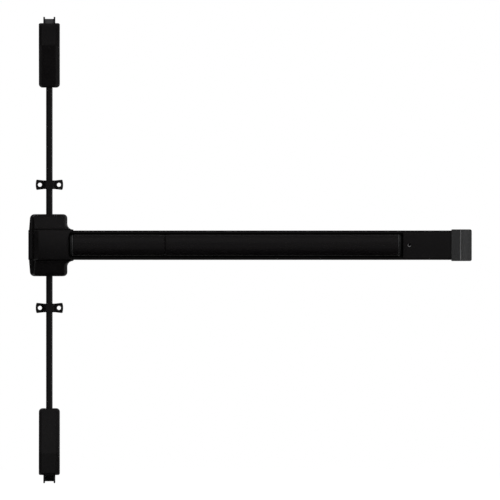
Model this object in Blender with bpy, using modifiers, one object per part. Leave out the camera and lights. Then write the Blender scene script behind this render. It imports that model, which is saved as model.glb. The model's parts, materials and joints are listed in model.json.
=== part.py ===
"""Surface vertical rod exit device for an outward-opening door, with rods to a top and a bottom latch.

The door's face is the plane Y = 0 and the device stands off it towards -Y. X runs along the push bar
from the centre case to the end cap, and Z is up. The origin is on the back of the centre case's
mounting plate, where the rods' line crosses the bar's centre line. Lengths are in metres.
"""

import math

import bmesh
import bpy
from mathutils import Matrix, Vector

MM = 0.001

# Clearances, and how far cutting and joining solids run past a face
SEAT = 0.3 * MM
SHAFT_CLEARANCE = 0.3 * MM
CUT_PAST = 5.0 * MM
OVERLAP = 1.0 * MM
SMALL_ROUND = 0.4 * MM
SMALL_CORNER = 1.0 * MM

# Mechanism case: an open aluminium channel with two front lips
RAIL_HEIGHT = 57.15 * MM
RAIL_DEPTH = 38.0 * MM
RAIL_WALL = 2.0 * MM
RAIL_LIP = 4.8 * MM
RAIL_LIP_THICKNESS = 3.0 * MM
RAIL_CORNER = 1.2 * MM
RAIL_START = 37.0 * MM
RAIL_END = 790.0 * MM

# Push pad: a crowned extrusion with an end cap at each end
PAD_HEIGHT = 40.4 * MM
PAD_FRONT = 62.0 * MM
PAD_SKIRT_BACK = 31.0 * MM
PAD_CROWN = 4.0 * MM
PAD_CROWN_SHARE = 0.84
PAD_CORNER = 2.6 * MM
PAD_WALL = 2.0 * MM
PAD_START = 40.7 * MM
PAD_END = 683.5 * MM
PAD_CAP_LENGTH = 6.5 * MM
PAD_CAP_ROUND = 2.2 * MM
PAD_CAP_FACE = 10.0 * MM
PAD_CAP_LEG = 6.0 * MM
PAD_SEAT_HALF_HEIGHT = 8.0 * MM
PAD_SEAT_PAST_SLOT = 4.0 * MM
PAD_TRAVEL = 16.0 * MM

# Base plate and the brackets that carry the bell cranks
BASE_THICKNESS = 2.0 * MM
BASE_HEIGHT = 40.0 * MM
BASE_START = 10.0 * MM
BASE_END = 735.0 * MM
BASE_CORNER = 3.0 * MM
BRACKET_THICKNESS = 2.0 * MM
BRACKET_INNER_WIDTH = 16.0 * MM
BRACKET_LENGTH = 18.0 * MM
BRACKET_BEND = 1.2 * MM
BRACKET_SLOT_EDGE = 2.5 * MM
CRANK_XS = {"left": 150.0 * MM, "right": 560.0 * MM}
CRANK_PIVOT_DEPTH = 26.0 * MM
CRANK_PIN_RADIUS = 2.5 * MM
CRANK_PIN_STANDOUT = 1.0 * MM
CRANK_HUB_RADIUS = 6.0 * MM
CRANK_BOSS_RADIUS = 4.8 * MM
CRANK_THICKNESS = 5.0 * MM
CRANK_PAD_ARM = 24.0 * MM
CRANK_BAR_ARM = 14.0 * MM
CRANK_TIP_RADIUS = 4.5 * MM
CRANK_TIP_PIN_RADIUS = 2.5 * MM

# Drive bar and its yoke in the centre case
BAR_THICKNESS = 3.0 * MM
BAR_DEPTH = 8.0 * MM
BAR_SIDE_GAP = 0.7 * MM
BAR_OVERHANG = 15.0 * MM
YOKE_THICKNESS = 3.0 * MM
YOKE_EDGE = 3.0 * MM
YOKE_TAIL = 9.0 * MM
YOKE_LAP = 26.0 * MM

# Lifters: the two bell cranks of the centre case
LIFTER_PIVOT_Z = 17.0 * MM
LIFTER_BAR_ARM = 12.4 * MM
LIFTER_HUB_RADIUS = 6.0 * MM
LIFTER_PIN_RADIUS = 3.0 * MM
LIFTER_TIP_RADIUS = 4.0 * MM
LIFTER_BAR_TIP_RADIUS = 3.2 * MM
LIFTER_TIP_PIN_RADIUS = 2.0 * MM
LIFTER_THICKNESS = 4.0 * MM
LIFTER_PIN_STANDOFF = 3.0 * MM
LIFTER_COLLAR = 1.5 * MM
ROD_TRAVEL = 14.0 * MM

# Vertical rods: hexagonal bars with a stud at each end
ROD_ACROSS_FLATS = 11.11 * MM
ROD_DEPTH = 17.0 * MM
TOP_ROD_LENGTH = 296.4 * MM
BOTTOM_ROD_LENGTH = 311.4 * MM
STUD_RADIUS = 3.5 * MM
STUD_ENGAGEMENT = 14.0 * MM
NUT_ACROSS_FLATS = 15.0 * MM
NUT_HEIGHT = 5.0 * MM
CONNECTOR_WIDTH = 14.0 * MM
CONNECTOR_DEPTH = 12.0 * MM
CONNECTOR_SLOT = 5.0 * MM
CONNECTOR_FOOT = 6.0 * MM
CONNECTOR_SLOT_REACH = 11.0 * MM
CONNECTOR_HEAD = 21.0 * MM

# Rod guides: bent straps with a bow-tie outline
GUIDE_LENGTH = 53.4 * MM
GUIDE_HEIGHT = 20.7 * MM
GUIDE_WAIST = 17.0 * MM
GUIDE_THICKNESS = 2.4 * MM
GUIDE_HOLE_SPACING = 37.0 * MM
GUIDE_HOLE_RADIUS = 3.85 * MM
GUIDE_SADDLE_HALF = 5.6 * MM
GUIDE_RISER_FOOT = 11.0 * MM
GUIDE_END_BULGE = 1.6 * MM
GUIDE_CORNER = 1.8 * MM
TOP_GUIDE_Z = 117.4 * MM
BOTTOM_GUIDE_Z = -121.8 * MM

# Centre case: mounting plate with two rod flanges, under a one-piece cover
MOUNT_THICKNESS = 2.0 * MM
MOUNT_LEFT = 34.0 * MM
MOUNT_RIGHT = 30.0 * MM
MOUNT_HALF_HEIGHT = 56.5 * MM
MOUNT_CORNER = 4.0 * MM
FLANGE_THICKNESS = 2.0 * MM
FLANGE_FROM_EDGE = 1.0 * MM
FLANGE_REACH = 30.0 * MM
FLANGE_HALF_WIDTH = 15.0 * MM
MOUNT_HOLE_RADIUS = 3.2 * MM
MOUNT_HOLE_X = 24.0 * MM
MOUNT_HOLE_Z = 44.0 * MM
COVER_HALF_HEIGHT = 60.3 * MM
COVER_LEFT = 38.9 * MM
COVER_LEFT_TAPER = 2.2 * MM
COVER_RIGHT = 34.9 * MM
COVER_WALL = 2.4 * MM
COVER_SHOULDER_DEPTH = 59.0 * MM
COVER_END_DEPTH = 50.0 * MM
COVER_END_CORNER = 8.0 * MM
COVER_END_ROUND = 7.0 * MM
COVER_RIGHT_ROUND = 7.0 * MM
COVER_SHELF_BACK = 11.0 * MM
COVER_SHELF_BACK_AT_END = 5.0 * MM
COVER_SHELF_EDGE = 3.0 * MM
COVER_SHELF_FOOT = 32.3 * MM
COVER_SHELF_LEAN = 0.42
COVER_BROW_ROUND = 3.0 * MM
BAND_DEPTH = 64.0 * MM
BAND_CROWN = 2.4 * MM
BAND_STEP = 1.5 * MM
BAND_WRAP = 1.6 * MM
BAND_EDGE = 0.2 * MM
BAND_UNDER_ROUND = 2.5 * MM
BAND_BROW_ROUND = 12.0 * MM
BAND_FILLET = 11.0 * MM
BAND_SHOULDER_ROUND = 12.0 * MM
NECK_END = 46.8 * MM
NECK_HOLLOW_START = 37.6 * MM
NECK_HOLLOW_CORNER = 13.0 * MM
ROD_SLOT_SIDE = 1.5 * MM

# Cover plate, dogging and end cap
PLATE_GAP = 3.5 * MM
PLATE_HEIGHT = 50.0 * MM
PLATE_THICKNESS = 2.0 * MM
PLATE_EDGE = 0.5 * MM
PLATE_CORNER = 0.6 * MM
DOGGING_FROM_PLATE = 12.0 * MM
DOGGING_HOLE_RADIUS = 3.3 * MM
DOGGING_HEAD_RADIUS = 6.0 * MM
DOGGING_HEAD_HEIGHT = 4.0 * MM
DOGGING_SHANK_RADIUS = 4.0 * MM
DOGGING_SHANK_LENGTH = 14.0 * MM
DOGGING_KEY_ACROSS_FLATS = 4.0 * MM
DOGGING_KEY_DEPTH = 3.0 * MM
DOGGING_BLOCK_HALF_LENGTH = 9.0 * MM
DOGGING_BLOCK_HEIGHT = 24.0 * MM
END_CAP_START = 780.5 * MM
END_CAP_LENGTH = 39.5 * MM
END_CAP_WALL = 1.9 * MM
END_CAP_RIDGE = 17.5 * MM
END_CAP_BEAD_HALF = 0.9 * MM
END_CAP_BEAD_HEIGHT = 0.6 * MM
END_CAP_EDGE = 0.9 * MM
END_CAP_NOSE_DEPTH = 30.0 * MM
END_CAP_NOSE_ROUND = 3.0 * MM
END_BRACKET_LENGTH = 12.0 * MM
END_BRACKET_HEIGHT = 40.0 * MM
END_BRACKET_DEPTH = 24.0 * MM

# Latches: a frame with two cheeks, a sliding bolt and a cover
TOP_LATCH_LENGTH = 125.0 * MM
BOTTOM_LATCH_LENGTH = 129.5 * MM
TOP_CHEEK_REACH = 12.2 * MM
BOTTOM_CHEEK_REACH = 15.8 * MM
TOP_BOLT_REACH = 8.4 * MM
BOTTOM_BOLT_REACH = 12.3 * MM
LATCH_WIDTH = 40.6 * MM
LATCH_WALL = 2.2 * MM
LATCH_DEPTH = 42.0 * MM
LATCH_ROD_END_DEPTH = 26.5 * MM
LATCH_FLAT_LENGTH = 43.0 * MM
LATCH_CREASE = 2.0 * MM
LATCH_SIDE_ROUND = 6.5 * MM
LATCH_ROD_END_CORNER = 7.0 * MM
LATCH_BOLT_END_CORNER = 3.0 * MM
LATCH_END_ROUND = 3.0 * MM
LATCH_PLATE_THICKNESS = 2.5 * MM
LATCH_HOLE_RADIUS = 2.2 * MM
LATCH_HOLE_INSET = 3.2 * MM
LATCH_HOLE_FROM_END = 18.0 * MM
CHEEK_OUTER_WIDTH = 22.9 * MM
CHEEK_THICKNESS = 2.9 * MM
CHEEK_TO_COVER = 0.8 * MM
CHEEK_NOSE = 5.0 * MM
BOLT_BACK = 4.5 * MM
BOLT_SET_BACK = 1.5 * MM
BOLT_BEVEL_DEPTH = 11.0 * MM
BOLT_BEVEL_LENGTH = 12.0 * MM
BOLT_TIP_ROUND = 2.0 * MM
BOLT_SHANK = 28.0 * MM
BRIDGE_FROM_END = 62.0 * MM
BRIDGE_THICKNESS = 3.0 * MM
STEM_RADIUS = 4.5 * MM
ROD_END_FROM_END = 84.0 * MM
SPRING_WIRE_RADIUS = 0.7 * MM
SPRING_TURNS = 6
SPRING_GAP = 1.0 * MM

ROUND_SIDES = 16
ARC_STEPS = 4
CROWN_STEPS = 8
COIL_STEPS = 10
SAME_SECTION = 0.15 * MM

PARTS = "vertical_rod_exit_device"
CUTTERS = "cutters"

# Sizes that follow from the ones above
RAIL_HALF = RAIL_HEIGHT / 2
PAD_HALF = PAD_HEIGHT / 2
PLATE_START = PAD_END + PLATE_GAP
BASE_FRONT = -(RAIL_WALL + SEAT + BASE_THICKNESS)
BRACKET_BACK = BASE_FRONT - SEAT
BAR_Z = CRANK_THICKNESS / 2 + BAR_SIDE_GAP
CRANK_SWING = math.asin(PAD_TRAVEL / 2 / CRANK_PAD_ARM)
BAR_TRAVEL = 2 * CRANK_BAR_ARM * math.sin(CRANK_SWING)
LIFTER_SWING = math.asin(BAR_TRAVEL / 2 / LIFTER_BAR_ARM)
LIFTER_ROD_ARM = ROD_TRAVEL / 2 / math.sin(LIFTER_SWING)
LIFTER_PIVOT_X = LIFTER_ROD_ARM * (1 + math.cos(LIFTER_SWING)) / 2
CONNECTOR_PIN_Z = LIFTER_PIVOT_Z + ROD_TRAVEL / 2
ROD_START_Z = CONNECTOR_PIN_Z + CONNECTOR_HEAD + SEAT + NUT_HEIGHT + SEAT
ROD_CORNER_RADIUS = ROD_ACROSS_FLATS / 2 / math.cos(math.pi / 6)
BAND_HALF = RAIL_HALF + SEAT + BAND_WRAP
STUD_BORE = STUD_RADIUS + SHAFT_CLEARANCE
END_CAP_FRONT = -(RAIL_DEPTH + SEAT + PLATE_THICKNESS + SEAT + END_CAP_WALL)


def clear_scene():
    for obj in list(bpy.data.objects):
        bpy.data.objects.remove(obj, do_unlink=True)
    for name in (PARTS, CUTTERS):
        collection = bpy.data.collections.new(name)
        bpy.context.scene.collection.children.link(collection)


def paint(name, colour, metallic, roughness):
    """A plain Principled material."""
    mat = bpy.data.materials.new(name)
    mat.use_nodes = True
    shader = mat.node_tree.nodes["Principled BSDF"]
    shader.inputs["Base Color"].default_value = (*colour, 1.0)
    shader.inputs["Metallic"].default_value = metallic
    shader.inputs["Roughness"].default_value = roughness
    return mat


def black_coat(name):
    return paint(name, (0.012, 0.011, 0.012), 0.3, 0.38)


def charcoal(name):
    return paint(name, (0.045, 0.045, 0.046), 0.2, 0.5)


def bare_steel(name):
    return paint(name, (0.35, 0.35, 0.36), 1.0, 0.4)


def dark_steel(name):
    return paint(name, (0.08, 0.08, 0.085), 1.0, 0.45)


def add_mesh(name, mesh, collection=PARTS):
    obj = bpy.data.objects.new(name, mesh)
    bpy.data.collections[collection].objects.link(obj)
    return obj


def fillet(corners):
    """An outline from corners (u, v, radius): a corner with a radius becomes an arc."""
    outline = []
    count = len(corners)
    for i, (u, v, radius) in enumerate(corners):
        here = Vector((u, v))
        if radius <= 0:
            outline.append(here)
            continue
        before = (Vector(corners[i - 1][:2]) - here).normalized()
        after = (Vector(corners[(i + 1) % count][:2]) - here).normalized()
        half_angle = before.angle(after) / 2
        centre = here + (before + after).normalized() * (radius / math.sin(half_angle))
        start = here + before * (radius / math.tan(half_angle)) - centre
        sweep = start.angle_signed(here + after * (radius / math.tan(half_angle)) - centre)
        for step in range(ARC_STEPS + 1):
            turn = Matrix.Rotation(-sweep * step / ARC_STEPS, 2)
            outline.append(centre + turn @ start)
    return outline


def box_outline(u_low, u_high, v_low, v_high, radius=0.0):
    corners = ((u_low, v_low), (u_high, v_low), (u_high, v_high), (u_low, v_high))
    return fillet([(u, v, radius) for u, v in corners])


def circle(u, v, radius, sides=ROUND_SIDES):
    turns = [2 * math.pi * k / sides for k in range(sides)]
    return [Vector((u + radius * math.cos(turn), v + radius * math.sin(turn))) for turn in turns]


def slot_outline(u, v, radius, half_u=0.0, half_v=0.0):
    """A round-ended slot that reaches half_u or half_v past its centre, besides its radius."""
    points = []
    for k in range(ROUND_SIDES):
        angle = 2 * math.pi * (k + 0.5) / ROUND_SIDES
        across = math.copysign(half_u, math.cos(angle))
        up = math.copysign(half_v, math.sin(angle))
        points.append(Vector((u + across + radius * math.cos(angle), v + up + radius * math.sin(angle))))
    return points


def hull_outline(discs):
    """The tight belt round discs (u, v, radius), as a convex outline."""
    points = sorted(tuple(p) for u, v, radius in discs for p in circle(u, v, radius))

    def half(ordered):
        chain = []
        for p in ordered:
            while len(chain) > 1:
                a, b = chain[-2], chain[-1]
                if (b[0] - a[0]) * (p[1] - a[1]) - (b[1] - a[1]) * (p[0] - a[0]) > 1e-12:
                    break
                chain.pop()
            chain.append(p)
        return chain[:-1]

    return [Vector(p) for p in half(points) + half(points[::-1])]


# How an outline's two axes and its extrusion lie in the world
PLANES = {
    "X": Matrix(((0, 0, 1), (1, 0, 0), (0, 1, 0))),
    "Y": Matrix(((1, 0, 0), (0, 0, -1), (0, 1, 0))),
    "Z": Matrix(((1, 0, 0), (0, 1, 0), (0, 0, 1))),
}


def prism(name, axis, low, high, outline, holes=(), collection=PARTS):
    """A filled outline, with holes, extruded along a world axis from low to high."""
    curve = bpy.data.curves.new(name, "CURVE")
    curve.dimensions = "2D"
    curve.fill_mode = "BOTH"
    curve.extrude = (high - low) / 2
    for ring in (outline, *holes):
        spline = curve.splines.new("POLY")
        spline.points.add(len(ring) - 1)
        for point, (u, v) in zip(spline.points, ring):
            point.co = (u, v, 0, 1)
        spline.use_cyclic_u = True
    middle = Vector([(low + high) / 2 if axis == letter else 0 for letter in "XYZ"])
    return mesh_from_curve(name, curve, Matrix.Translation(middle) @ PLANES[axis].to_4x4(), collection)


def mesh_from_curve(name, curve, matrix, collection=PARTS):
    """The curve's evaluated shape as a closed mesh in world coordinates."""
    holder = bpy.data.objects.new(name + "_curve", curve)
    bpy.context.scene.collection.objects.link(holder)
    holder.matrix_world = matrix
    depsgraph = bpy.context.evaluated_depsgraph_get()
    mesh = bpy.data.meshes.new_from_object(holder.evaluated_get(depsgraph))
    bm = bmesh.new()
    bm.from_mesh(mesh)
    bmesh.ops.remove_doubles(bm, verts=bm.verts, dist=1e-6)
    bmesh.ops.transform(bm, matrix=holder.matrix_world, verts=bm.verts)
    bmesh.ops.dissolve_limit(bm, angle_limit=math.radians(0.5), verts=bm.verts, edges=bm.edges)
    bmesh.ops.recalc_face_normals(bm, faces=bm.faces)
    bm.to_mesh(mesh)
    bm.free()
    bpy.data.objects.remove(holder, do_unlink=True)
    return add_mesh(name, mesh, collection)


def box(name, x, y, z, collection=PARTS):
    """A box from three (low, high) pairs."""
    bm = bmesh.new()
    bmesh.ops.create_cube(bm, size=1.0)
    size = Vector((x[1] - x[0], y[1] - y[0], z[1] - z[0]))
    middle = Vector((sum(x) / 2, sum(y) / 2, sum(z) / 2))
    place = Matrix.Translation(middle) @ Matrix.Diagonal((*size, 1))
    bmesh.ops.transform(bm, matrix=place, verts=bm.verts)
    mesh = bpy.data.meshes.new(name)
    bm.to_mesh(mesh)
    bm.free()
    return add_mesh(name, mesh, collection)


def rod_along(name, axis, low, high, at, radius, sides=ROUND_SIDES, collection=PARTS):
    """A cylinder, or a bar with few sides, along a world axis; at holds its other two coordinates."""
    return prism(name, axis, low, high, circle(*at, radius, sides), (), collection)


def combine(target, tool, operation):
    """A Boolean of target with a tool, which is kept out of sight among the cutters."""
    for collection in list(tool.users_collection):
        collection.objects.unlink(tool)
    bpy.data.collections[CUTTERS].objects.link(tool)
    tool.hide_render = True
    tool.display_type = "WIRE"
    modifier = target.modifiers.new(tool.name, "BOOLEAN")
    modifier.operation = operation
    modifier.object = tool
    modifier.solver = "EXACT"
    return target


def cut(target, *tools):
    for tool in tools:
        combine(target, tool, "DIFFERENCE")
    return target


def join(target, *tools):
    for tool in tools:
        combine(target, tool, "UNION")
    return target


def soften(obj, width, segments=2, angle=40.0):
    """Rounded edges wherever two faces meet at more than the angle."""
    modifier = obj.modifiers.new("soft_edges", "BEVEL")
    modifier.width = width
    modifier.segments = segments
    modifier.limit_method = "ANGLE"
    modifier.angle_limit = math.radians(angle)
    return obj


def finish(obj, mat, origin=(0.0, 0.0, 0.0)):
    """Gives a piece its material, smooth round faces and an origin, such as a point on its joint's axis."""
    obj.data.materials.clear()
    obj.data.materials.append(mat)
    obj.data.shade_smooth()
    obj.data.set_sharp_from_angle(angle=math.radians(35))
    obj.data.transform(Matrix.Translation(-Vector(origin)))
    obj.location = origin
    return obj


def corner_inset(distance, radius):
    """How far a rounded end has drawn in at a distance from the end."""
    if distance >= radius:
        return 0.0
    return radius - math.sqrt(max(0.0, radius**2 - (radius - distance) ** 2))


def end_distances(radius):
    """Distances from a rounded end at which its sections are placed."""
    return [radius * (1 - math.cos(math.pi / 2 * k / ARC_STEPS)) for k in range(ARC_STEPS + 1)]


def loft(name, heights, section, collection=PARTS):
    """A closed solid through the sections, rings of (x, y), at the given heights."""
    bm = bmesh.new()
    rings = []
    for z in heights:
        rings.append([bm.verts.new((x, y, z)) for x, y in section(z)])
    for lower, upper in zip(rings, rings[1:]):
        for k in range(len(lower)):
            j = (k + 1) % len(lower)
            bm.faces.new((lower[k], lower[j], upper[j], upper[k]))
    bm.faces.new(rings[0][::-1])
    bm.faces.new(rings[-1])
    bmesh.ops.remove_doubles(bm, verts=bm.verts, dist=1e-6)
    bmesh.ops.recalc_face_normals(bm, faces=bm.faces)
    mesh = bpy.data.meshes.new(name)
    bm.to_mesh(mesh)
    bm.free()
    return add_mesh(name, mesh, collection)


def ramp(value, low, high):
    """0 at low, 1 at high, and a straight line between."""
    return min(1.0, max(0.0, (value - low) / (high - low)))


def rail():
    """The mechanism case: an open channel whose front lips turn inwards."""
    inner = RAIL_HALF - RAIL_WALL
    lip = RAIL_HALF - RAIL_LIP
    front = -RAIL_DEPTH
    behind_lip = front + RAIL_LIP_THICKNESS
    half = [(0, RAIL_HALF, 0), (front, RAIL_HALF, RAIL_CORNER), (front, lip, 0), (behind_lip, lip, 0),
            (behind_lip, inner, 0), (-RAIL_WALL, inner, 0)]
    mirrored = [(y, -z, radius) for y, z, radius in reversed(half)]
    body = prism("mechanism_case", "X", RAIL_START, RAIL_END, fillet(half + mirrored))
    finish(body, black_coat("case_black"))


def pad_outline(inset):
    """The pad's section in Y and Z: straight skirts and a crowned front."""
    half = PAD_HALF - inset
    radius = (PAD_HALF**2 + PAD_CROWN**2) / (2 * PAD_CROWN) - inset
    centre = -PAD_FRONT + inset + radius
    crown_half = PAD_CROWN_SHARE * half
    corner = max(PAD_CORNER - inset, SMALL_ROUND)
    crown = []
    for k in range(CROWN_STEPS + 1):
        z = crown_half * (1 - 2 * k / CROWN_STEPS)
        crown.append((centre - math.sqrt(radius**2 - z**2), z, 0))
    edge = centre - math.sqrt(radius**2 - half**2)
    return [(-PAD_SKIRT_BACK, half, 0), (edge, half, corner), *crown,
            (edge, -half, corner), (-PAD_SKIRT_BACK, -half, 0)]


def push_pad():
    """The touch bar, an end cap at each end and the two slotted brackets inside it."""
    outer = pad_outline(0)
    inner = pad_outline(PAD_WALL)
    start = PAD_START + PAD_CAP_LENGTH + SEAT
    end = PAD_END - PAD_CAP_LENGTH - SEAT
    touch_bar = prism("touch_bar", "X", start, end, fillet(outer + inner[::-1]))
    finish(touch_bar, black_coat("pad_black"))

    for side, low in (("left", PAD_START), ("right", PAD_END - PAD_CAP_LENGTH)):
        cap = prism("pad_" + side + "_cap", "X", low, low + PAD_CAP_LENGTH, fillet(outer))
        soften(cap, PAD_CAP_ROUND, 3, 60.0)
        notch = box("pad_" + side + "_notch", (low - OVERLAP, low + PAD_CAP_LENGTH + OVERLAP),
                    (-PAD_FRONT + PAD_CAP_FACE, -PAD_SKIRT_BACK + CUT_PAST),
                    (-PAD_HALF + PAD_CAP_LEG, PAD_HALF - PAD_CAP_LEG))
        cut(cap, notch)
        finish(cap, charcoal("pad_cap_grey"))

    for side, pivot_x in CRANK_XS.items():
        pad_bracket(side, pivot_x)


def pad_bracket(side, pivot_x):
    """An angle bracket under the touch bar; its slot carries the tip pin of a bell crank."""
    reach = CRANK_PAD_ARM * math.cos(CRANK_SWING)
    slip = CRANK_PAD_ARM * (1 - math.cos(CRANK_SWING)) / 2
    pin_x = pivot_x - reach - slip
    pin_y = -(CRANK_PIVOT_DEPTH + PAD_TRAVEL / 2)
    bore = CRANK_TIP_PIN_RADIUS + SHAFT_CLEARANCE
    half = bore + slip + BRACKET_SLOT_EDGE
    crown_radius = (PAD_HALF**2 + PAD_CROWN**2) / (2 * PAD_CROWN) - PAD_WALL
    fall = crown_radius - math.sqrt(crown_radius**2 - PAD_SEAT_HALF_HEIGHT**2)
    top = -PAD_FRONT + PAD_WALL + fall + SEAT
    web_high = -(CRANK_THICKNESS / 2 + BAR_SIDE_GAP)
    web_low = web_high - BRACKET_THICKNESS
    web = prism(
        side + "_pad_bracket", "Z", web_low, web_high,
        box_outline(pin_x - half, pin_x + half, top, pin_y + bore + BRACKET_SLOT_EDGE),
        [slot_outline(pin_x, pin_y, bore, half_u=slip)],
    )
    reach = half + PAD_SEAT_PAST_SLOT
    flange = box(side + "_pad_flange", (pin_x - reach, pin_x + reach),
                 (top, top + BRACKET_THICKNESS), (-PAD_SEAT_HALF_HEIGHT, PAD_SEAT_HALF_HEIGHT))
    finish(join(web, flange), dark_steel("bracket_steel"))


def base_plate():
    """A strip on the rail's floor that ties the rail to the centre case and carries the brackets."""
    half = BASE_HEIGHT / 2
    strip = prism("base_plate", "Y", BASE_FRONT, BASE_FRONT + BASE_THICKNESS,
                  box_outline(BASE_START, BASE_END, -half, half, BASE_CORNER))
    finish(strip, black_coat("base_black"))


def crank_bracket(side, pivot_x):
    """A U bracket on the base plate, and the pin through its two ears."""
    inner = BRACKET_INNER_WIDTH / 2
    outer = inner + BRACKET_THICKNESS
    front = -(CRANK_PIVOT_DEPTH + CRANK_HUB_RADIUS)
    floor = BRACKET_BACK - BRACKET_THICKNESS
    half = BRACKET_LENGTH / 2
    channel = prism(
        side + "_crank_bracket", "X", pivot_x - half, pivot_x + half,
        fillet([(BRACKET_BACK, outer, BRACKET_BEND), (front, outer, 0), (front, inner, 0),
                (floor, inner, 0), (floor, -inner, 0), (front, -inner, 0), (front, -outer, 0),
                (BRACKET_BACK, -outer, BRACKET_BEND)]),
    )
    bore = rod_along(side + "_bracket_bore", "Z", -outer - OVERLAP, outer + OVERLAP,
                     (pivot_x, -CRANK_PIVOT_DEPTH), CRANK_PIN_RADIUS + SHAFT_CLEARANCE)
    finish(cut(channel, bore), dark_steel("bracket_steel"))
    reach = outer + CRANK_PIN_STANDOUT
    pin = rod_along(side + "_crank_pin", "Z", -reach, reach, (pivot_x, -CRANK_PIVOT_DEPTH), CRANK_PIN_RADIUS)
    finish(pin, bare_steel("pin_steel"), (pivot_x, -CRANK_PIVOT_DEPTH, 0))


def bell_crank(side, pivot_x):
    """The crank that turns the pad's inward travel into the drive bar's travel along X."""
    pivot = (pivot_x, -CRANK_PIVOT_DEPTH)
    cosine, sine = math.cos(CRANK_SWING), math.sin(CRANK_SWING)
    pad_tip = (pivot_x - CRANK_PAD_ARM * cosine, pivot[1] - CRANK_PAD_ARM * sine)
    bar_tip = (pivot_x - CRANK_BAR_ARM * sine, pivot[1] + CRANK_BAR_ARM * cosine)
    half = CRANK_THICKNESS / 2
    hub_half = BRACKET_INNER_WIDTH / 2 - SEAT
    web_reach = half + BAR_SIDE_GAP + BRACKET_THICKNESS
    bar_reach = half + BAR_SIDE_GAP + BAR_THICKNESS
    plate = prism(
        side + "_bell_crank", "Z", -half, half,
        hull_outline([(*pivot, CRANK_HUB_RADIUS), (*pad_tip, CRANK_TIP_RADIUS),
                      (*bar_tip, CRANK_TIP_RADIUS)]),
    )
    hub = rod_along(side + "_crank_hub", "Z", -hub_half, hub_half, pivot, CRANK_BOSS_RADIUS)
    pad_pin = rod_along(side + "_pad_pin", "Z", -web_reach, 0, pad_tip, CRANK_TIP_PIN_RADIUS)
    bar_pin = rod_along(side + "_bar_pin", "Z", 0, bar_reach, bar_tip, CRANK_TIP_PIN_RADIUS)
    bore = rod_along(side + "_crank_bore", "Z", -2 * hub_half, 2 * hub_half, pivot,
                     CRANK_PIN_RADIUS + SHAFT_CLEARANCE)
    cut(join(plate, hub, pad_pin, bar_pin), bore)
    finish(plate, bare_steel("crank_steel"), (*pivot, 0))


def bar_slot_y():
    """The middle of the arc that a crank's bar pin runs through, and half its depth."""
    deepest = -CRANK_PIVOT_DEPTH + CRANK_BAR_ARM
    shallowest = -CRANK_PIVOT_DEPTH + CRANK_BAR_ARM * math.cos(CRANK_SWING)
    return (deepest + shallowest) / 2, (deepest - shallowest) / 2


def drive_bar():
    """The long strip that both cranks pull, with a slot for each crank's pin."""
    slot_y, slot_half = bar_slot_y()
    start = LIFTER_PIVOT_X + YOKE_TAIL + SEAT
    end = CRANK_XS["right"] + BAR_OVERHANG
    slots = [
        slot_outline(x - BAR_TRAVEL / 2, slot_y, CRANK_TIP_PIN_RADIUS + SHAFT_CLEARANCE, half_v=slot_half)
        for x in CRANK_XS.values()
    ]
    strip = prism("drive_bar", "Z", BAR_Z, BAR_Z + BAR_THICKNESS,
                  box_outline(start, end, slot_y - BAR_DEPTH / 2, slot_y + BAR_DEPTH / 2), slots)
    finish(strip, bare_steel("bar_steel"))
    drive_yoke(slot_y)


def drive_yoke(bar_y):
    """The plate on the drive bar's end, with a slot for each lifter's pin and a lug lapped on the bar."""
    pin_x = LIFTER_PIVOT_X - BAR_TRAVEL / 2
    drop = LIFTER_BAR_ARM * (1 - math.cos(LIFTER_SWING)) / 2
    pin_z = LIFTER_PIVOT_Z - LIFTER_BAR_ARM * math.cos(LIFTER_SWING) - drop
    bore = LIFTER_TIP_PIN_RADIUS + SHAFT_CLEARANCE
    front = -(ROD_DEPTH - LIFTER_THICKNESS / 2) + BAR_SIDE_GAP
    lug_low = BAR_Z + BAR_THICKNESS + SEAT
    half = max(pin_z + drop + bore + YOKE_EDGE, lug_low + BAR_THICKNESS)
    end = LIFTER_PIVOT_X + YOKE_TAIL
    plate = prism(
        "drive_yoke", "Y", front, front + YOKE_THICKNESS,
        box_outline(pin_x - bore - YOKE_EDGE, end, -half, half, SMALL_CORNER),
        [slot_outline(pin_x, side * pin_z, bore, half_v=drop) for side in (1, -1)],
    )
    lug = box("yoke_lug", (end - YOKE_EDGE, end + YOKE_LAP),
              (bar_y - BAR_DEPTH / 2, bar_y + BAR_DEPTH / 2), (lug_low, lug_low + BAR_THICKNESS))
    finish(join(plate, lug), bare_steel("bar_steel"))


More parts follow.
